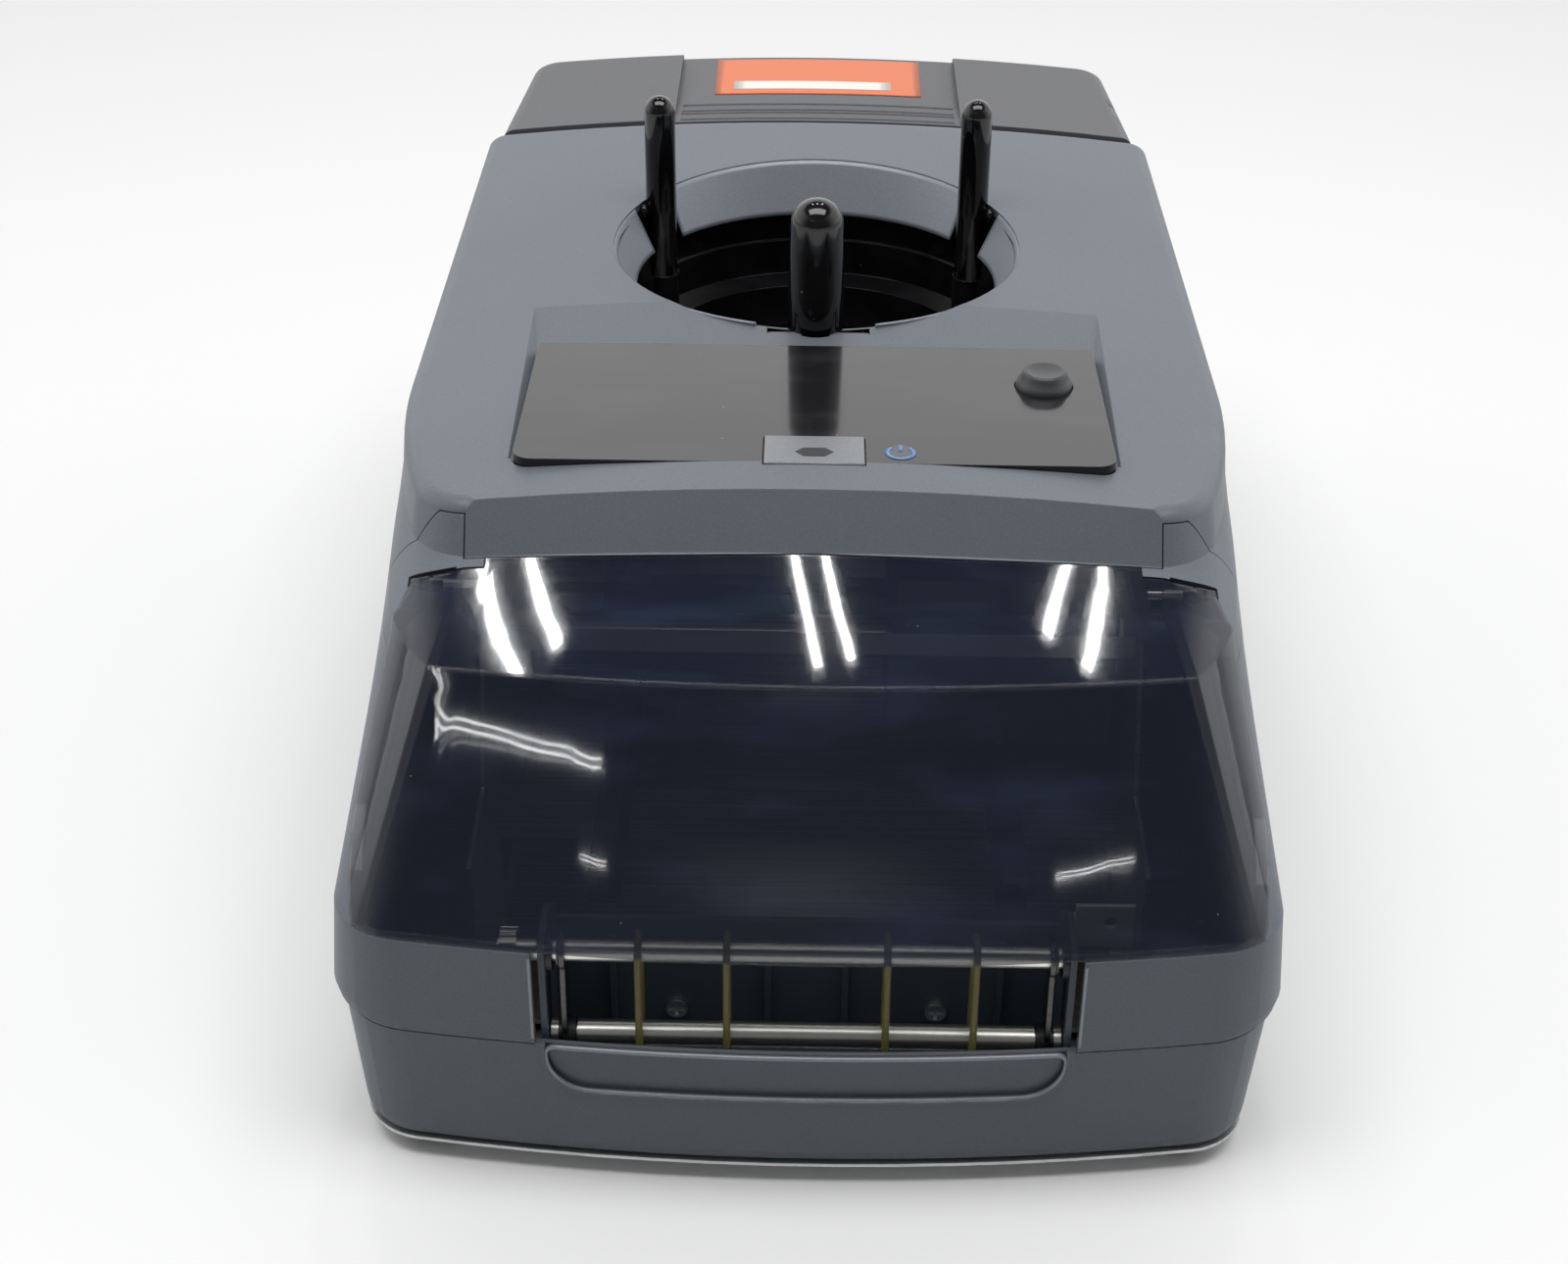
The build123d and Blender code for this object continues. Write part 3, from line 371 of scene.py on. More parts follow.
@dataclass(frozen=True)
class SteelFinish:
    """Plated or ground steel with fine lines along the bar."""

    name: str
    tint: Colour
    roughness: float = 0.3
    relief: float = 0.004 * MM
    edge_radius: float = 0.2 * MM

    def build(self, effects: Effects) -> bpy.types.Material:
        """Make the material."""
        shader = Shader(self.name)
        lines = shader.group(effects.brushed, Tint=self.tint)
        shader.link(lines.outputs["Color"], "Base Color")
        shader.set(Metallic=1.0, Roughness=self.roughness)
        edge = shader.soft_edge(self.edge_radius)
        shader.link(shader.bump(lines.outputs["Height"], self.relief, edge), "Normal")
        return shader.material


class Finish(Enum):
    """Every finish on the printer."""

    PAINT = PaintFinish("graphite_paint", (0.165, 0.185, 0.210, 1))
    # The hood's graphite, lightened: painted light on the skirt inside the hopper, where it faces
    # up to the lamps.
    SKIRT_LIT = PaintFinish("skirt_graphite_lit", (0.30, 0.33, 0.37, 1))
    # The hood's graphite, lightened and made glossier: a painted highlight along the lips round
    # the catch recess and the slot.
    LIP_HIGHLIGHT = PaintFinish("lip_graphite_highlight", (0.30, 0.33, 0.36, 1), metallic=0.4, roughness=0.3)
    REAR_PAINT = PaintFinish("rear_graphite", (0.128, 0.130, 0.140, 1))
    VISOR = GlossFinish("smoked_visor", (0.012, 0.018, 0.036, 1), clean=0.01, dull=0.03, coat=0.9,
                        alpha=0.55, edge_radius=1.2 * MM)
    BLACK = GlossFinish("black_gloss", (0.005, 0.005, 0.006, 1), coat=0.15)
    PANEL = GlossFinish("panel_gloss", (0.012, 0.012, 0.014, 1), clean=0.12, dull=0.2, coat=0.25)
    SILVER_KEY = PaintFinish("key_silver", (0.25, 0.26, 0.275, 1), metallic=0.5, roughness=0.3)
    GREY_KEY = MouldedFinish("key_grey", (0.055, 0.058, 0.062, 1), roughness=0.42)
    MATTE_BLACK = MouldedFinish("black_matte", (0.013, 0.015, 0.019, 1), roughness=0.45)
    STEEL = SteelFinish("exit_steel", (0.86, 0.85, 0.80, 1))
    DARK_STEEL = SteelFinish("dark_steel", (0.10, 0.10, 0.10, 1), roughness=0.38)
    BELT = MouldedFinish("belt_rubber", (0.24, 0.22, 0.07, 1), roughness=0.4, relief=0.01 * MM)
    FOOT = MouldedFinish("foot_rubber", (0.012, 0.012, 0.012, 1), roughness=0.7)
    TRAY = MouldedFinish("tray_grey", (0.10, 0.10, 0.11, 1), roughness=0.5)
    CARTRIDGE = MouldedFinish("cartridge_black", (0.02, 0.02, 0.02, 1), roughness=0.4)
    # Bluish dark raised well above a near-black frame: partly the frame's own dark colour, partly
    # a painted reflection inside the slot.
    EXIT_BLACK = MouldedFinish("exit_dark", (0.10, 0.13, 0.165, 1), roughness=0.4)
    ACETAL = MouldedFinish("pulley_white", (0.7, 0.7, 0.67, 1), roughness=0.4)
    BOARD = MouldedFinish("board_green", (0.01, 0.09, 0.035, 1), roughness=0.35)
    METAL_CAN = SteelFinish("metal_can", (0.5, 0.5, 0.5, 1), roughness=0.4)
    SHEET_EDGE = SteelFinish("base_sheet", (0.6, 0.61, 0.62, 1), roughness=0.45)
    # Pale plastic, made brighter still so that it shows in the unlit space behind the visor:
    # partly its own colour, partly painted light.
    BRACKET = MouldedFinish("pale_bracket", (0.72, 0.76, 0.66, 1), roughness=0.5)
    LENS = GlossFinish("clear_lens", (0.010, 0.010, 0.012, 1), clean=0.1)
    STICKER = MouldedFinish("orange_sticker", (0.75, 0.17, 0.055, 1), roughness=0.42,
                            relief=0.004 * MM, grain_amount=0.05)
    STICKER_FIELD = MouldedFinish("sticker_field", (0.86, 0.80, 0.74, 1), roughness=0.45,
                                  relief=0.003 * MM, grain_amount=0.04)
    PRINT_BLUE = MouldedFinish("printed_blue", (0.22, 0.38, 0.74, 1), roughness=0.4,
                               relief=0.002 * MM, grain_amount=0.05)


class Dresser:
    """Builds each finish once and puts it on nodes and pieces."""

    def __init__(self) -> None:
        """Build the shared effects."""
        self.effects = Effects()
        self.made: dict[Finish, bpy.types.Material] = {}

    def material(self, finish: Finish) -> bpy.types.Material:
        """The finish's material, made on first use."""
        if finish not in self.made:
            self.made[finish] = finish.value.build(self.effects)
        return self.made[finish]

    def dress(self, thing: bpy.types.Object, finish: Finish) -> None:
        """Give an object one finish all over."""
        material = self.material(finish)
        if not thing.material_slots:
            thing.data.materials.append(material)
        for slot in thing.material_slots:
            slot.material = material


# ---------------------------------------------------------------- mesh helpers
def grid_faces(rows: int, columns: int, closed: bool = False, start: int = 0) -> np.ndarray:
    """Quads of a grid of points stored row by row.

    Args:
        rows: points along the first way.
        columns: points along the second way.
        closed: whether the last column joins the first.
        start: number of the first point.

    Returns:
        An array of four point numbers for each face.
    """
    last = columns if closed else columns - 1
    row, column = np.meshgrid(np.arange(rows - 1), np.arange(last), indexing="ij")
    right = (column + 1) % columns
    quads = np.stack([row * columns + column, row * columns + right,
                      (row + 1) * columns + right, (row + 1) * columns + column], -1)
    return quads.reshape(-1, 4) + start


def turned(profile: Sequence[tuple[float, float]], at: tuple[float, float],
           segments: int = 64) -> tuple[np.ndarray, np.ndarray]:
    """Surface of revolution: radius and height along a profile, carried round a vertical axis.

    Args:
        profile: radius and height pairs in millimetres, from the bottom to the top.
        at: the axis in plan, in millimetres.
        segments: steps round the axis.

    Returns:
        Points and faces.
    """
    pairs = np.array(profile) * MM
    angle = np.linspace(0, 2 * math.pi, segments, endpoint=False)
    radius, turn = np.meshgrid(pairs[:, 0], angle, indexing="ij")
    height = np.repeat(pairs[:, 1:2], segments, axis=1)
    points = np.stack([at[0] * MM + radius * np.cos(turn), at[1] * MM + radius * np.sin(turn),
                       height], -1)
    return points, grid_faces(len(profile), segments, closed=True)


def dome(radius: float, base: float, top: float, steps: int = 10) -> list[tuple[float, float]]:
    """Quarter ellipse from the wall at base to the pole at top, as a profile."""
    angle = np.linspace(0, math.pi / 2, steps)
    return list(zip((radius * np.cos(angle)).tolist(),
                    (base + (top - base) * np.sin(angle)).tolist()))


def bead(path: np.ndarray, radius: float, closed: bool, segments: int = 10
         ) -> tuple[np.ndarray, np.ndarray]:
    """Tube round a path that lies nearly in a plane facing front: a circle in the plane of the
    path's outward side and the Y axis, carried along it.

    Args:
        path: points in metres.
        radius: the tube's radius.
        closed: whether the path is a loop.
        segments: points round the tube.

    Returns:
        Points and faces.
    """
    if closed:
        along = np.roll(path, -1, axis=0) - np.roll(path, 1, axis=0)
    else:
        along = np.gradient(path, axis=0)
    along /= np.linalg.norm(along, axis=1, keepdims=True)
    side = np.cross(along, [0.0, 1.0, 0.0])
    side /= np.linalg.norm(side, axis=1, keepdims=True)
    other = np.cross(along, side)
    turn = np.linspace(0, 2 * math.pi, segments, endpoint=False)
    rings = (path[:, None] + radius * (np.cos(turn)[None, :, None] * side[:, None]
                                       + np.sin(turn)[None, :, None] * other[:, None]))
    if closed:
        rings = np.concatenate([rings, rings[:1]])
    return rings, grid_faces(len(rings), segments, closed=True)


def make_piece(name: str, points: np.ndarray, faces: np.ndarray, body: str, slot: str,
               smooth: bool = True) -> bpy.types.Object:
    """Put arrays into a mesh object that rides on a body, with its seams and poles welded.

    Args:
        name: the piece's name.
        points: an n by 3 array in metres, in the printer's own frame.
        faces: an m by 4 array of point numbers.
        body: the body it moves with.
        slot: the record's material slot it takes after; not used.
        smooth: whether its faces shade smoothly.

    Returns:
        The object.
    """
    mesh = bpy.data.meshes.new(name)
    mesh.from_pydata(points.reshape(-1, 3).tolist(), [], faces.tolist())
    work = bmesh.new()
    work.from_mesh(mesh)
    bmesh.ops.remove_doubles(work, verts=work.verts, dist=WELD)
    bmesh.ops.recalc_face_normals(work, faces=work.faces)
    work.to_mesh(mesh)
    work.free()
    mesh.update()
    mesh.polygons.foreach_set("use_smooth", np.full(len(mesh.polygons), smooth))
    piece = bpy.data.objects.new(name, mesh)
    bpy.context.scene.collection.objects.link(piece)
    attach(piece, body)
    log.info("piece %s: %d points", name, len(mesh.vertices))
    return piece


def solidify(piece: bpy.types.Object, thickness: float) -> None:
    """Give a sheet its thickness, inwards from its faces."""
    modifier = piece.modifiers.new("thickness", "SOLIDIFY")
    modifier.thickness = thickness
    modifier.offset = -1.0


# ---------------------------------------------------------------- the printer's covers
@dataclass
class TopSkin:
    """The crowned top of the covers as a height above the plan."""

    height: float = 191.2 * MM
    slope: float = 0.03
    centre_y: float = 43.5 * MM
    crown: float = 1200 * MM

    def z(self, x: np.ndarray, y: np.ndarray) -> np.ndarray:
        """Height at plan points: a plane that rises to the back, crowned by an arc across."""
        return self.height + self.slope * (y - self.centre_y) - (
            self.crown - np.sqrt(self.crown ** 2 - x ** 2))


@dataclass
class Covers:
    """Painted covers, base and feet, the lips of the front openings and the grip's ridges and
    sticker."""

    skin: TopSkin = field(default_factory=TopSkin)
    sticker_x: float = 45 * MM
    sticker_y: tuple[float, float] = (203 * MM, 247 * MM)
    blank_x: tuple[float, float] = (-37 * MM, 32 * MM)
    blank_y: tuple[float, float] = (6 * MM, 16 * MM)
    recess_depth: float = 3.6 * MM
    lift: float = 0.12 * MM
    sheet: float = 0.08 * MM
    front: float = -262.5 * MM
    bow: float = 800 * MM
    recess: tuple[float, float, float] = (78.0, 54.0, 36.4)
    bead_radius: float = 0.8 * MM
    slot_half: float = 81 * MM
    slot_span: tuple[float, float] = (57.0, 87.5)
    rim_radius: float = 0.6 * MM
    ridges: tuple[tuple[float, float], ...] = ((168.5, 1.2), (175.2, 1.2), (181.5, 2.4),
                                               (188.2, 2.4))
    ridge_half: float = 58.0
    ridge_radius: float = 0.75 * MM

    def face(self, x: np.ndarray, z: np.ndarray) -> np.ndarray:
        """Depth of the front face of the U recess's rim: an arc in plan that leans back by the
        housing's draft, from nothing at the split to 3.2 mm at the foot."""
        draft = np.interp(z, [13.4 * MM, 54.6 * MM], [3.2 * MM, 0.0]) - 0.6 * MM
        bow = self.bow - draft
        return self.front + draft + bow - np.sqrt(bow ** 2 - x ** 2)

    def recess_path(self) -> np.ndarray:
        """Closed outline of the catch recess: two round lower corners, two small upper ones."""
        corners = ((1, self.recess[2], -90, 13.0), (1, self.recess[1], 0, 3.0),
                   (-1, self.recess[1], 90, 3.0), (-1, self.recess[2], 180, 13.0))
        runs = []
        for side, height, start, radius in corners:
            turn = np.radians(start + np.linspace(0, 90, 10))
            middle_z = height + radius if start in (-90, 180) else height - radius
            runs.append(np.stack([side * (self.recess[0] - radius) + radius * np.cos(turn),
                                  middle_z + radius * np.sin(turn)], -1))
        flat = np.concatenate(runs) * MM
        closed = np.concatenate([flat, flat[:1]])
        step = np.concatenate([[0], np.cumsum(np.linalg.norm(np.diff(closed, axis=0), axis=1))])
        even = np.linspace(0, step[-1], 240, endpoint=False)
        x, z = np.interp(even, step, closed[:, 0]), np.interp(even, step, closed[:, 1])
        return np.stack([x, self.face(x, z) + self.bead_radius, z], -1)

    def front_rims(self, dresser: Dresser) -> None:
        """Rounded lips round the catch recess and at the ends of the slot, in a lightened paint
        that is a painted highlight.
        """
        lip = make_piece("catch_lip", *bead(self.recess_path(), self.bead_radius, True), "base",
                         "graphite_paint")
        dresser.dress(lip, Finish.LIP_HIGHLIGHT)
        height = np.linspace(*self.slot_span, 24) * MM
        for side, label in ((-1, "left"), (1, "right")):
            x = np.full_like(height, side * (self.slot_half + 0.5 * MM))
            face = self.front + self.bow - np.sqrt(self.bow ** 2 - x ** 2) + 0.35 * MM
            path = np.stack([x, face, height], -1)
            rim = make_piece(f"slot_rim_{label}", *bead(path, self.rim_radius, False), "base",
                             "graphite_paint")
            dresser.dress(rim, Finish.LIP_HIGHLIGHT)

    def grip_ridges(self, dresser: Dresser) -> None:
        """Low ridges across the grip recess: straight tubes that follow the crown."""
        x = np.linspace(-self.ridge_half, self.ridge_half, 40) * MM
        for index, (y, sink) in enumerate(self.ridges):
            depth = np.full_like(x, y * MM)
            path = np.stack([x, depth, self.skin.z(x, depth) - (sink + 0.25) * MM], -1)
            ridge = make_piece(f"grip_ridge_{index + 1}", *bead(path, self.ridge_radius, False),
                               "base", "graphite_paint")
            dresser.dress(ridge, Finish.REAR_PAINT)

    def patch(self, x: tuple[float, float], y: tuple[float, float], lift: float,
              steps: int = 24) -> tuple[np.ndarray, np.ndarray]:
        """Grid over the recess floor: plan coordinates run evenly, the height follows the skin.

        Args:
            x: left and right limits.
            y: front and back limits.
            lift: height above the floor.
            steps: points each way.

        Returns:
            Points and faces.
        """
        across, along = np.meshgrid(np.linspace(*x, steps), np.linspace(*y, steps))
        z = self.skin.z(across, along) - self.recess_depth + lift
        return np.stack([across, along, z], -1), grid_faces(steps, steps)

    def build(self, nodes: dict[str, bpy.types.Object], dresser: Dresser) -> None:
        """Dress the covers and lay the sticker."""
        for name in ("upper_housing", "lower_housing", "hinge_cap_left", "hinge_cap_right"):
            dresser.dress(nodes[name], Finish.PAINT)
        dresser.dress(nodes["rear_cover"], Finish.REAR_PAINT)
        self.front_rims(dresser)
        self.grip_ridges(dresser)
        dresser.dress(nodes["base_plate"], Finish.SHEET_EDGE)
        for number in range(1, 5):
            dresser.dress(nodes[f"rubber_foot_{number}"], Finish.FOOT)
        points, faces = self.patch((-self.sticker_x, self.sticker_x), self.sticker_y, self.lift)
        sticker = make_piece("grip_sticker", points, faces, "base", "graphite_paint")
        solidify(sticker, self.sheet)
        dresser.dress(sticker, Finish.STICKER)
        front = self.sticker_y[0]
        points, faces = self.patch(self.blank_x, tuple(front + reach for reach in self.blank_y),
                                   self.lift + 0.1 * MM, 12)
        blank = make_piece("sticker_blank", points, faces, "base", "graphite_paint")
        solidify(blank, self.sheet)
        dresser.dress(blank, Finish.STICKER_FIELD)


@dataclass
class Visor:
    """Smoked visor."""

    def build(self, nodes: dict[str, bpy.types.Object], dresser: Dresser) -> None:
        """Dress the visor and its pins."""
        dresser.dress(nodes["visor"], Finish.VISOR)
        dresser.dress(nodes["hinge_pins"], Finish.STEEL)


@dataclass
class Hopper:
    """Funnel with its painted skirt and notch, posts, feed ring and separator. Numbers are in
    millimetres and degrees."""

    skin: TopSkin = field(default_factory=TopSkin)
    centre: tuple[float, float] = (0.0, 43.5)
    skirt_foot: tuple[float, float] = (68.0, 173.0)
    skirt_top: float = 76.4
    front_post: tuple[float, float] = (0.0, -26.2)
    rear_post: tuple[float, float] = (60.8, 79.0)
    post_top: float = 232.8
    step: float = 161.2
    skirt_spans: tuple[tuple[float, float], ...] = ((38.5, 141.5), (-74.0, 22.5), (157.5, 254.0))
    sheet: float = 0.8 * MM
    clip_profile: tuple[tuple[float, float], ...] = (
        (0, 184.0), (1.6, 184.6), (2.2, 186.2), (2.0, 188.6), (1.0, 189.4), (0, 189.5))

    def skirt(self, start: float, stop: float) -> tuple[np.ndarray, np.ndarray]:
        """Part of a cone from a level foot up to the crowned rim: angle by share of height.

        Args:
            start: first angle in degrees.
            stop: last angle in degrees.

        Returns:
            Points and faces.
        """
        angle = np.radians(np.linspace(start, stop, max(8, int((stop - start) / 1.5))))
        share = np.linspace(0, 1, 12)
        turn, rise = np.meshgrid(angle, share, indexing="ij")
        radius = (self.skirt_foot[0] + (self.skirt_top - self.skirt_foot[0]) * rise) * MM
        x, y = radius * np.cos(turn), self.centre[1] * MM + radius * np.sin(turn)
        rim = self.skin.z(x, y) - 0.5 * MM
        foot = self.skirt_foot[1] * MM
        return np.stack([x, y, foot + (rim - foot) * rise], -1), grid_faces(len(angle), 12)

    def build(self, nodes: dict[str, bpy.types.Object], dresser: Dresser) -> None:
        """Dress the hopper and turn its posts."""
        dresser.dress(nodes["hopper_funnel"], Finish.BLACK)
        dresser.dress(nodes["feed_ring"], Finish.MATTE_BLACK)
        dresser.dress(nodes["disc_separator"], Finish.MATTE_BLACK)
        self.notch_floor(dresser)
        for label, span in zip(("rear", "right", "left"), self.skirt_spans):
            piece = make_piece(f"hopper_skirt_{label}", *self.skirt(*span), "base",
                               "graphite_paint")
            solidify(piece, self.sheet)
            # Lightened copy of the hood paint: painted light on the skirt.
            dresser.dress(piece, Finish.SKIRT_LIT)
        post = [(0, self.step), (10.0, self.step), (9.7, 200)]
        post += dome(9.1, self.post_top - 8.6, self.post_top)
        self.post("front_post_turned", post, self.front_post, "front_post", dresser)
        for side, label in ((-1, "left"), (1, "right")):
            slim = [(0, self.step), (5.95, self.step)]
            slim += dome(5.9, self.post_top - 6.4, self.post_top)
            at = (side * self.rear_post[0], self.rear_post[1])
            self.post(f"rear_post_{label}_turned", slim, at, f"rear_post_{label}", dresser)
            nub = turned(self.clip_profile, (at[0] + side * 6.6, at[1] - 2), 20)
            clip = make_piece(f"post_clip_{label}", *nub, "base", "black_gloss")
            dresser.dress(clip, Finish.BLACK)

    def notch_floor(self, dresser: Dresser) -> None:
        """Painted floor of the notch ahead of the front post: the skin's own surface, lowered."""
        x, y = np.meshgrid(np.linspace(-16.8, 18.8, 20) * MM, np.linspace(-34.7, -32.4, 4) * MM)
        points = np.stack([x, y, self.skin.z(x, y) - 3.0 * MM], -1)
        piece = make_piece("notch_floor", points, grid_faces(4, 20), "base", "graphite_paint")
        solidify(piece, self.sheet)
        dresser.dress(piece, Finish.PAINT)

    def post(self, name: str, profile: list[tuple[float, float]], at: tuple[float, float],
             node: str, dresser: Dresser) -> None:
        """Turn a post that stands for a node."""
        piece = make_piece(name, *turned(profile, at), "base", "black_gloss")
        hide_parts(node)
        dresser.dress(piece, Finish.BLACK)


@dataclass
class ControlPanel:
    """Glossy panel with its two keys, lens and printed mark. The key's profile and centre are in
    millimetres."""

    mark_centre: tuple[float, float] = (27.5 * MM, -123.5 * MM)
    mark_radius: float = 4.2 * MM
    mark_width: float = 1.6 * MM
    mark_gap: float = math.radians(38)
    mark_lift: float = 0.16 * MM
    ink: float = 0.05 * MM
    face_z: float = 185.4 * MM
    window: tuple[float, float, float] = (3.6 * MM, 6.2 * MM, 2.7 * MM)
    window_y: float = -125.5 * MM
    window_lift: float = 1.06 * MM
    key_centre: tuple[float, float] = (77.0, -72.7)
    key_profile: tuple[tuple[float, float], ...] = (
        (0, 180.0), (4.8, 180.0), (4.8, 183.4), (9.2, 183.4), (9.5, 183.8), (9.5, 186.4),
        (9.3, 187.1), (8.8, 187.8), (8.2, 188.6), (7.7, 189.6), (7.4, 190.4), (7.0, 191.0),
        (6.4, 191.2), (5.6, 191.0), (4.0, 190.55), (2.0, 190.3), (0, 190.2))

    def ring_mark(self) -> tuple[np.ndarray, np.ndarray]:
        """Flat ring, open at the back: angle by radius, half a line width either side."""
        angle = np.linspace(math.pi / 2 + self.mark_gap, math.pi * 2.5 - self.mark_gap, 48)
        radius = self.mark_radius + np.array([-0.5, 0.5]) * self.mark_width
        turn, reach = np.meshgrid(angle, radius, indexing="ij")
        x = self.mark_centre[0] + reach * np.cos(turn)
        y = self.mark_centre[1] + reach * np.sin(turn)
        z = np.full_like(x, self.face_z + self.mark_lift)
        return np.stack([x, y, z], -1), grid_faces(48, 2)[:, ::-1]

    def hexagon(self) -> tuple[np.ndarray, np.ndarray]:
        """Long flat hexagon as two quads that share its middle line."""
        half, point, deep = self.window
        x = np.array([-half, half, point, half, -half, -point])
        y = np.array([-deep, -deep, 0, deep, deep, 0]) + self.window_y
        z = np.full(6, self.face_z + self.window_lift)
        return np.stack([x, y, z], -1), np.array([[5, 0, 1, 2], [5, 2, 3, 4]])

    def bar_mark(self) -> tuple[np.ndarray, np.ndarray]:
        """Short bar in the ring's opening, as a flat grid."""
        x, y = np.meshgrid(self.mark_centre[0] + np.array([-0.5, 0.5]) * self.mark_width,
                           self.mark_centre[1] + np.linspace(0.6 * MM, 5.4 * MM, 4))
        z = np.full_like(x, self.face_z + self.mark_lift)
        return np.stack([x, y, z], -1), grid_faces(4, 2)

    def build(self, nodes: dict[str, bpy.types.Object], dresser: Dresser) -> None:
        """Dress the panel and print the power mark."""
        for name, finish in (("control_panel", Finish.PANEL), ("power_button", Finish.SILVER_KEY),
                             ("power_lens", Finish.LENS), ("panel_board", Finish.BOARD),
                             ("panel_switches", Finish.MATTE_BLACK)):
            dresser.dress(nodes[name], finish)
        cap = turned(self.key_profile, self.key_centre, 96)
        button = make_piece("round_key_turned", *cap, "ok_button", "button_grey")
        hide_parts("ok_button")
        dresser.dress(button, Finish.GREY_KEY)
        window = make_piece("key_window", *self.hexagon(), "power_button", "black_matte", False)
        solidify(window, 0.5 * MM)
        dresser.dress(window, Finish.MATTE_BLACK)
        for name, shape in (("power_mark_ring", self.ring_mark()),
                            ("power_mark_bar", self.bar_mark())):
            mark = make_piece(name, *shape, "base", "clear_lens")
            solidify(mark, self.ink)
            dresser.dress(mark, Finish.PRINT_BLUE)


@dataclass
class ExitMechanism:
    """Swing arms, shaft, roller and belts in the slot."""

    def build(self, nodes: dict[str, bpy.types.Object], dresser: Dresser) -> None:
        """Dress the exit."""
        for name in ("exit_drive_shaft", "exit_roller", "exit_screws"):
            dresser.dress(nodes[name], Finish.STEEL)
        for name in ("swing_arm_left", "swing_arm_right", "shaft_clips", "roller_clips"):
            dresser.dress(nodes[name], Finish.DARK_STEEL)
        dresser.dress(nodes["exit_frame"], Finish.EXIT_BLACK)
        for name in ("shaft_bushes", "roller_bushes"):
            dresser.dress(nodes[name], Finish.MATTE_BLACK)
        for number in range(1, 5):
            dresser.dress(nodes[f"exit_belt_{number}"], Finish.BELT)
        dresser.dress(nodes["service_bracket"], Finish.BRACKET)


@dataclass
class InnerWorks:
    """Everything behind the covers, and the sockets in the back."""

    def build(self, nodes: dict[str, bpy.types.Object], dresser: Dresser) -> None:
        """Dress the works."""
        wanted = {
            Finish.METAL_CAN: ("chassis", "tray_motor", "carriage_motor", "power_supply",
                               "idler_post"),
            Finish.MATTE_BLACK: ("tray_rail_left", "tray_rail_right", "service_station",
                                 "power_inlet", "data_socket"),
            Finish.TRAY: ("disc_tray", "carriage"),
            Finish.STEEL: ("tray_feed_shaft", "guide_rod"),
            Finish.CARTRIDGE: ("black_cartridge", "colour_cartridge"),
            Finish.ACETAL: ("motor_pulley", "idler_pulley", "encoder_strip"),
            Finish.FOOT: ("carriage_belt",),
            Finish.BOARD: ("main_board",),
        }
        for finish, names in wanted.items():
            for name in names:
                dresser.dress(nodes[name], finish)


# ---------------------------------------------------------------- studio and camera
FRONT_RADIANCE = 25.0
FLOOR_REACH = 6.0
FLOOR_SEEN: Colour = (0.92, 0.92, 0.92, 1)
FLOOR_SHADE: Colour = (0.03, 0.03, 0.04, 1)


@dataclass(frozen=True)
class TubePair:
    """Two parallel tube lamps under the ceiling."""

    name: str
    at: tuple[float, float]
    size: tuple[float, float]
    turn: float
    gap: float
    across: bool = False
    radiance: float = 60.0

    def twin(self, side: float) -> tuple[float, float]:
        """Plan position of a tube of the pair, half a gap to the side of their middle."""
        cos, sin = math.cos(self.turn), math.sin(self.turn)
        step = (-side * sin, side * cos) if self.across else (side * cos, side * sin)
        return self.at[0] + step[0], self.at[1] + step[1]


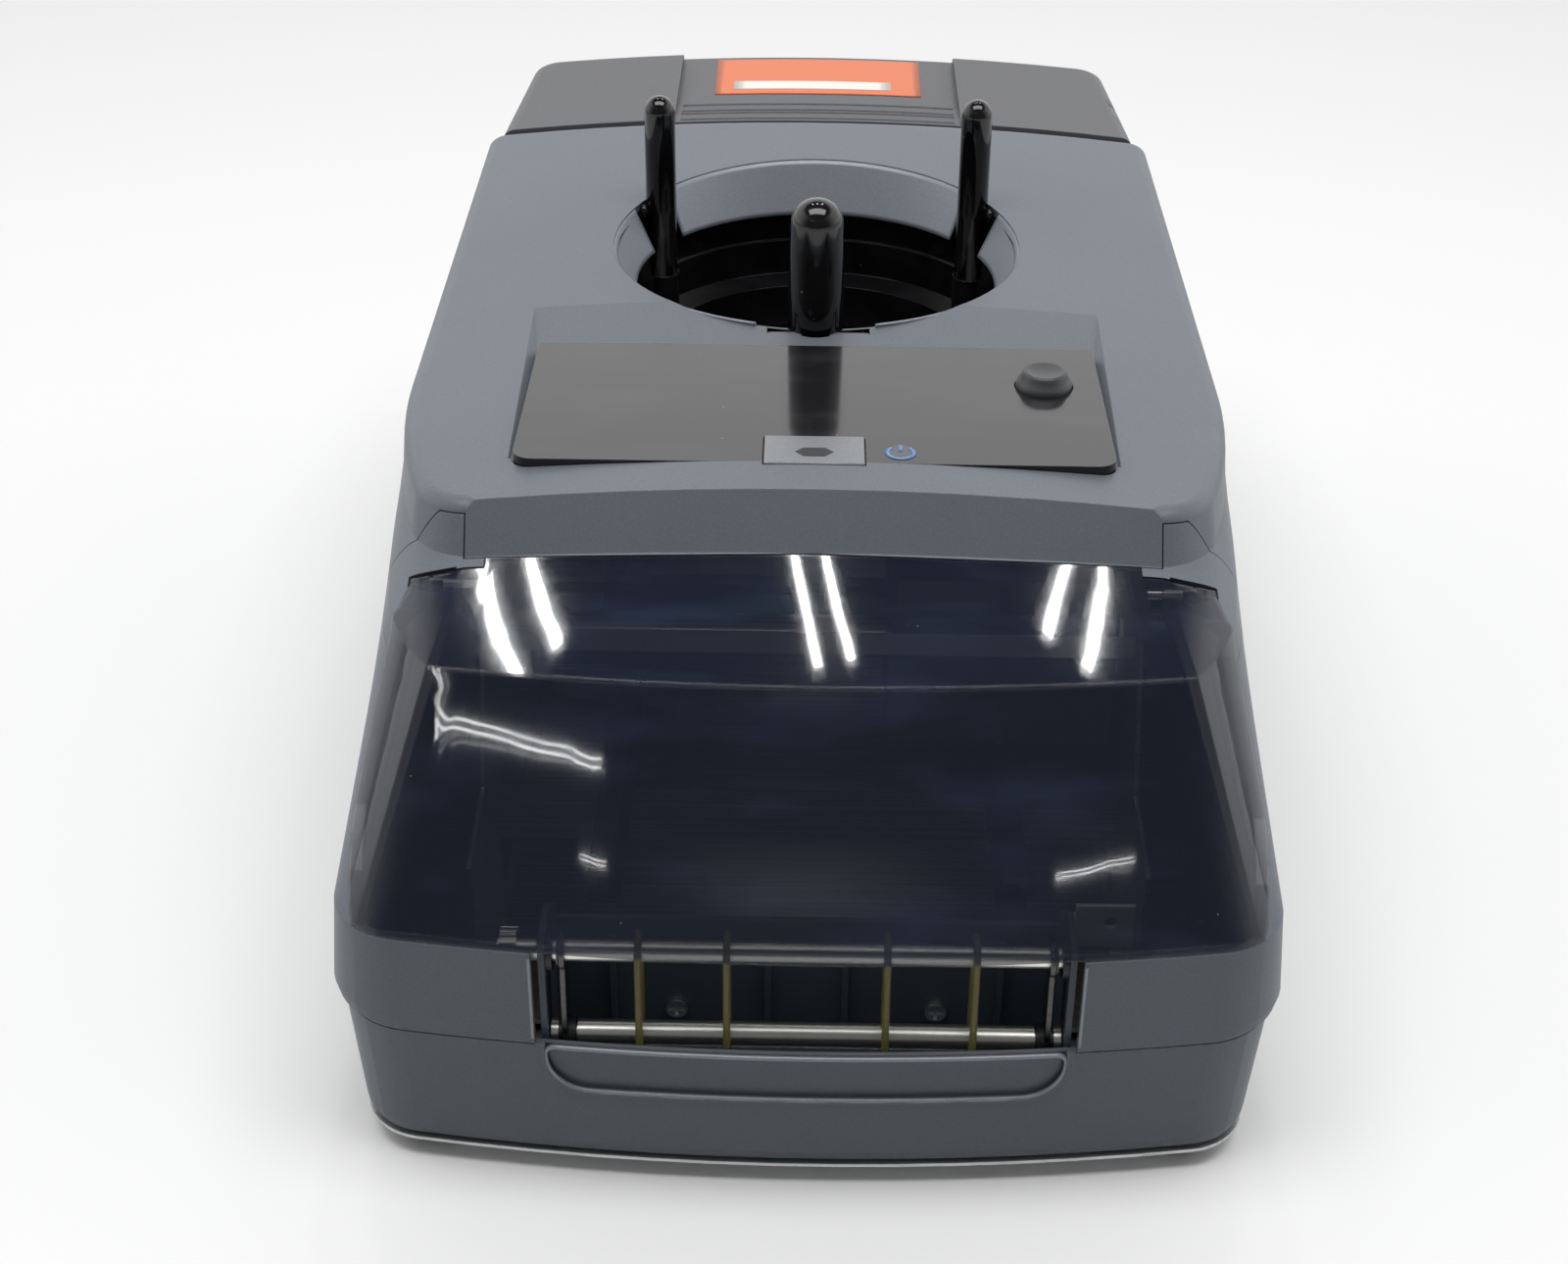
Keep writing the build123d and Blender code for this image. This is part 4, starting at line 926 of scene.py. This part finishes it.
@dataclass
class Studio:
    """Pale floor, a bright band of wall low behind and beside the printer, a dark ceiling with
    one soft overhead lamp and pairs of tube lamps."""

    wall: float = 1.2
    front_share: float = 0.02
    ceiling: float = 0.09
    backdrop: float = 0.95
    key_at: tuple[float, float] = (0.0, -0.45)
    key_size: tuple[float, float] = (2.6, 1.1)
    key_power: float = 46.0
    tube_height: float = 2.4
    tubes: tuple[TubePair, ...] = (
        TubePair("tube_left", (-0.61, 1.34), (0.014, 0.5), math.radians(32), 0.06),
        TubePair("tube_middle", (-0.015, 1.27), (0.014, 0.5), math.radians(15), 0.06),
        TubePair("tube_right", (0.59, 1.37), (0.014, 0.5), math.radians(-28), 0.06),
        TubePair("front_long", (-1.37, -3.09), (1.05, 0.010), math.radians(-9.8), 0.03, True,
                 FRONT_RADIANCE),
        TubePair("front_right", (1.29, -3.50), (0.36, 0.006), math.radians(9.8), 0.016, True,
                 FRONT_RADIANCE),
        TubePair("front_left", (-0.94, -3.51), (0.12, 0.006), math.radians(-9.8), 0.016, True,
                 FRONT_RADIANCE),
    )

    def build(self) -> None:
        """Make floor, world and lamps."""
        self._floor()
        self._world()
        self._lamp("overhead", self.key_at, self.key_size, self.key_power)
        for tube in self.tubes:
            for twin in (-0.5, 0.5):
                power = tube.radiance * math.pi * tube.size[0] * tube.size[1]
                self._lamp(f"{tube.name}_{twin > 0}", tube.twin(twin * tube.gap), tube.size,
                           power, tube.turn)

    def _lamp(self, name: str, at: tuple[float, float], size: tuple[float, float],
              power: float, turn: float = 0.0) -> None:
        """Rectangular area lamp under the ceiling that faces down.

        Args:
            name: the lamp's name.
            at: its middle in plan.
            size: width and depth before it is turned.
            power: watts.
            turn: its angle in plan.
        """
        data = bpy.data.lights.new(name, "AREA")
        data.shape = "RECTANGLE"
        data.size, data.size_y = size
        data.energy = power
        lamp = bpy.data.objects.new(name, data)
        bpy.context.scene.collection.objects.link(lamp)
        lamp.location = (*at, self.tube_height)
        lamp.rotation_euler = (0.0, 0.0, turn)

    @staticmethod
    def _seen_directly(tree: bpy.types.NodeTree) -> bpy.types.NodeSocket:
        """1 for rays from the camera, from a mirror or through glass."""
        path = tree.nodes.new("ShaderNodeLightPath")
        total = path.outputs["Is Camera Ray"]
        for name in ("Is Glossy Ray", "Is Transmission Ray"):
            add = tree.nodes.new("ShaderNodeMath")
            add.operation = "MAXIMUM"
            tree.links.new(total, add.inputs[0])
            tree.links.new(path.outputs[name], add.inputs[1])
            total = add.outputs[0]
        return total

    def _floor(self) -> None:
        """Large plain floor, white to the camera, that keeps the printer's shadow."""
        ends = np.array([-FLOOR_REACH, FLOOR_REACH])
        x, y = np.meshgrid(ends, ends)
        mesh = bpy.data.meshes.new("floor")
        points = np.stack([x, y, np.zeros_like(x)], -1).reshape(-1, 3)
        mesh.from_pydata(points.tolist(), [], grid_faces(2, 2).tolist())
        floor = bpy.data.objects.new("floor", mesh)
        bpy.context.scene.collection.objects.link(floor)
        shader = Shader("pale_floor")
        mix = shader.nodes.new("ShaderNodeMix")
        mix.data_type = "RGBA"
        mix.inputs["A"].default_value = FLOOR_SHADE
        mix.inputs["B"].default_value = FLOOR_SEEN
        shader.tree.links.new(self._seen_directly(shader.tree), mix.inputs["Factor"])
        shader.link(mix.outputs["Result"], "Base Color")
        shader.set(Roughness=0.6)
        mesh.materials.append(shader.material)

    def _world(self) -> None:
        """Brightness by direction: the wall's band fades out above mid height and towards the
        front, over a dim ceiling; the camera sees plain white."""
        world = bpy.data.worlds.new("room")
        bpy.context.scene.world = world
        world.use_nodes = True
        tree = world.node_tree
        place = tree.nodes.new("ShaderNodeTexCoord")
        split = tree.nodes.new("ShaderNodeSeparateXYZ")
        tree.links.new(place.outputs["Generated"], split.inputs[0])
        height = self._fade(tree, split.outputs["Z"], (0.56, 0.78), (self.wall, 0.0))
        depth = self._fade(tree, split.outputs["Y"], (-0.75, 0.15), (self.front_share, 1.0))
        band = tree.nodes.new("ShaderNodeMath")
        band.operation = "MULTIPLY_ADD"
        tree.links.new(height, band.inputs[0])
        tree.links.new(depth, band.inputs[1])
        band.inputs[2].default_value = self.ceiling
        path = tree.nodes.new("ShaderNodeLightPath")
        mix = tree.nodes.new("ShaderNodeMix")
        tree.links.new(path.outputs["Is Camera Ray"], mix.inputs["Factor"])
        tree.links.new(band.outputs[0], mix.inputs["A"])
        mix.inputs["B"].default_value = self.backdrop
        tree.links.new(mix.outputs["Result"], tree.nodes["Background"].inputs["Strength"])
        tree.nodes["Background"].inputs["Color"].default_value = (1, 1, 1, 1)

    @staticmethod
    def _fade(tree: bpy.types.NodeTree, value: bpy.types.NodeSocket, span: tuple[float, float],
              ends: tuple[float, float]) -> bpy.types.NodeSocket:
        """Smooth change from the first end to the second as the value crosses the span."""
        node = tree.nodes.new("ShaderNodeMapRange")
        node.interpolation_type = "SMOOTHSTEP"
        for name, number in zip(("From Min", "From Max", "To Min", "To Max"), span + ends):
            node.inputs[name].default_value = number
        tree.links.new(value, node.inputs["Value"])
        return node.outputs["Result"]


@dataclass
class PhotoCamera:
    """Camera that stands where the photograph was taken."""

    focal_px: float = 2400.0
    place: tuple[float, float, float] = (-2.2 * MM, -792.2 * MM, 528.0 * MM)
    pitch: float = math.radians(31.52)
    yaw: float = math.radians(0.59)
    roll: float = math.radians(-0.56)

    def build(self) -> None:
        """Create the camera; its axes are turned by pitch, then yaw about Z, then roll."""
        ahead = np.array([0, math.cos(self.pitch), -math.sin(self.pitch)])
        right = np.array([1.0, 0, 0])
        down = np.cross(ahead, right)
        turn = np.array([[math.cos(self.yaw), -math.sin(self.yaw), 0],
                         [math.sin(self.yaw), math.cos(self.yaw), 0], [0, 0, 1]])
        ahead, right, down = turn @ ahead, turn @ right, turn @ down
        across = math.cos(self.roll) * right + math.sin(self.roll) * down
        below = -math.sin(self.roll) * right + math.cos(self.roll) * down
        axes = np.eye(4)
        axes[:3, 0], axes[:3, 1], axes[:3, 2] = across, -below, -ahead
        axes[:3, 3] = self.place
        data = bpy.data.cameras.new("photo_camera")
        data.sensor_width = SENSOR
        data.lens = SENSOR * self.focal_px / PHOTO_WIDTH
        data.clip_start = NEAR_CLIP
        camera = bpy.data.objects.new("photo_camera", data)
        bpy.context.scene.collection.objects.link(camera)
        camera.matrix_world = Matrix(axes.tolist())
        bpy.context.scene.camera = camera


def main() -> None:
    """Load the frame, dress every sub-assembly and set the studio."""
    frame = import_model()
    bpy.context.scene.view_settings.view_transform = "Standard"
    dresser = Dresser()
    for assembly in (Covers(), Visor(), Hopper(), ControlPanel(), ExitMechanism(), InnerWorks()):
        log.info("sub-assembly %s", type(assembly).__name__)
        assembly.build(frame["nodes"], dresser)
    Studio().build()
    PhotoCamera().build()


if __name__ == "__main__":
    logging.basicConfig(level=logging.INFO)
    main()
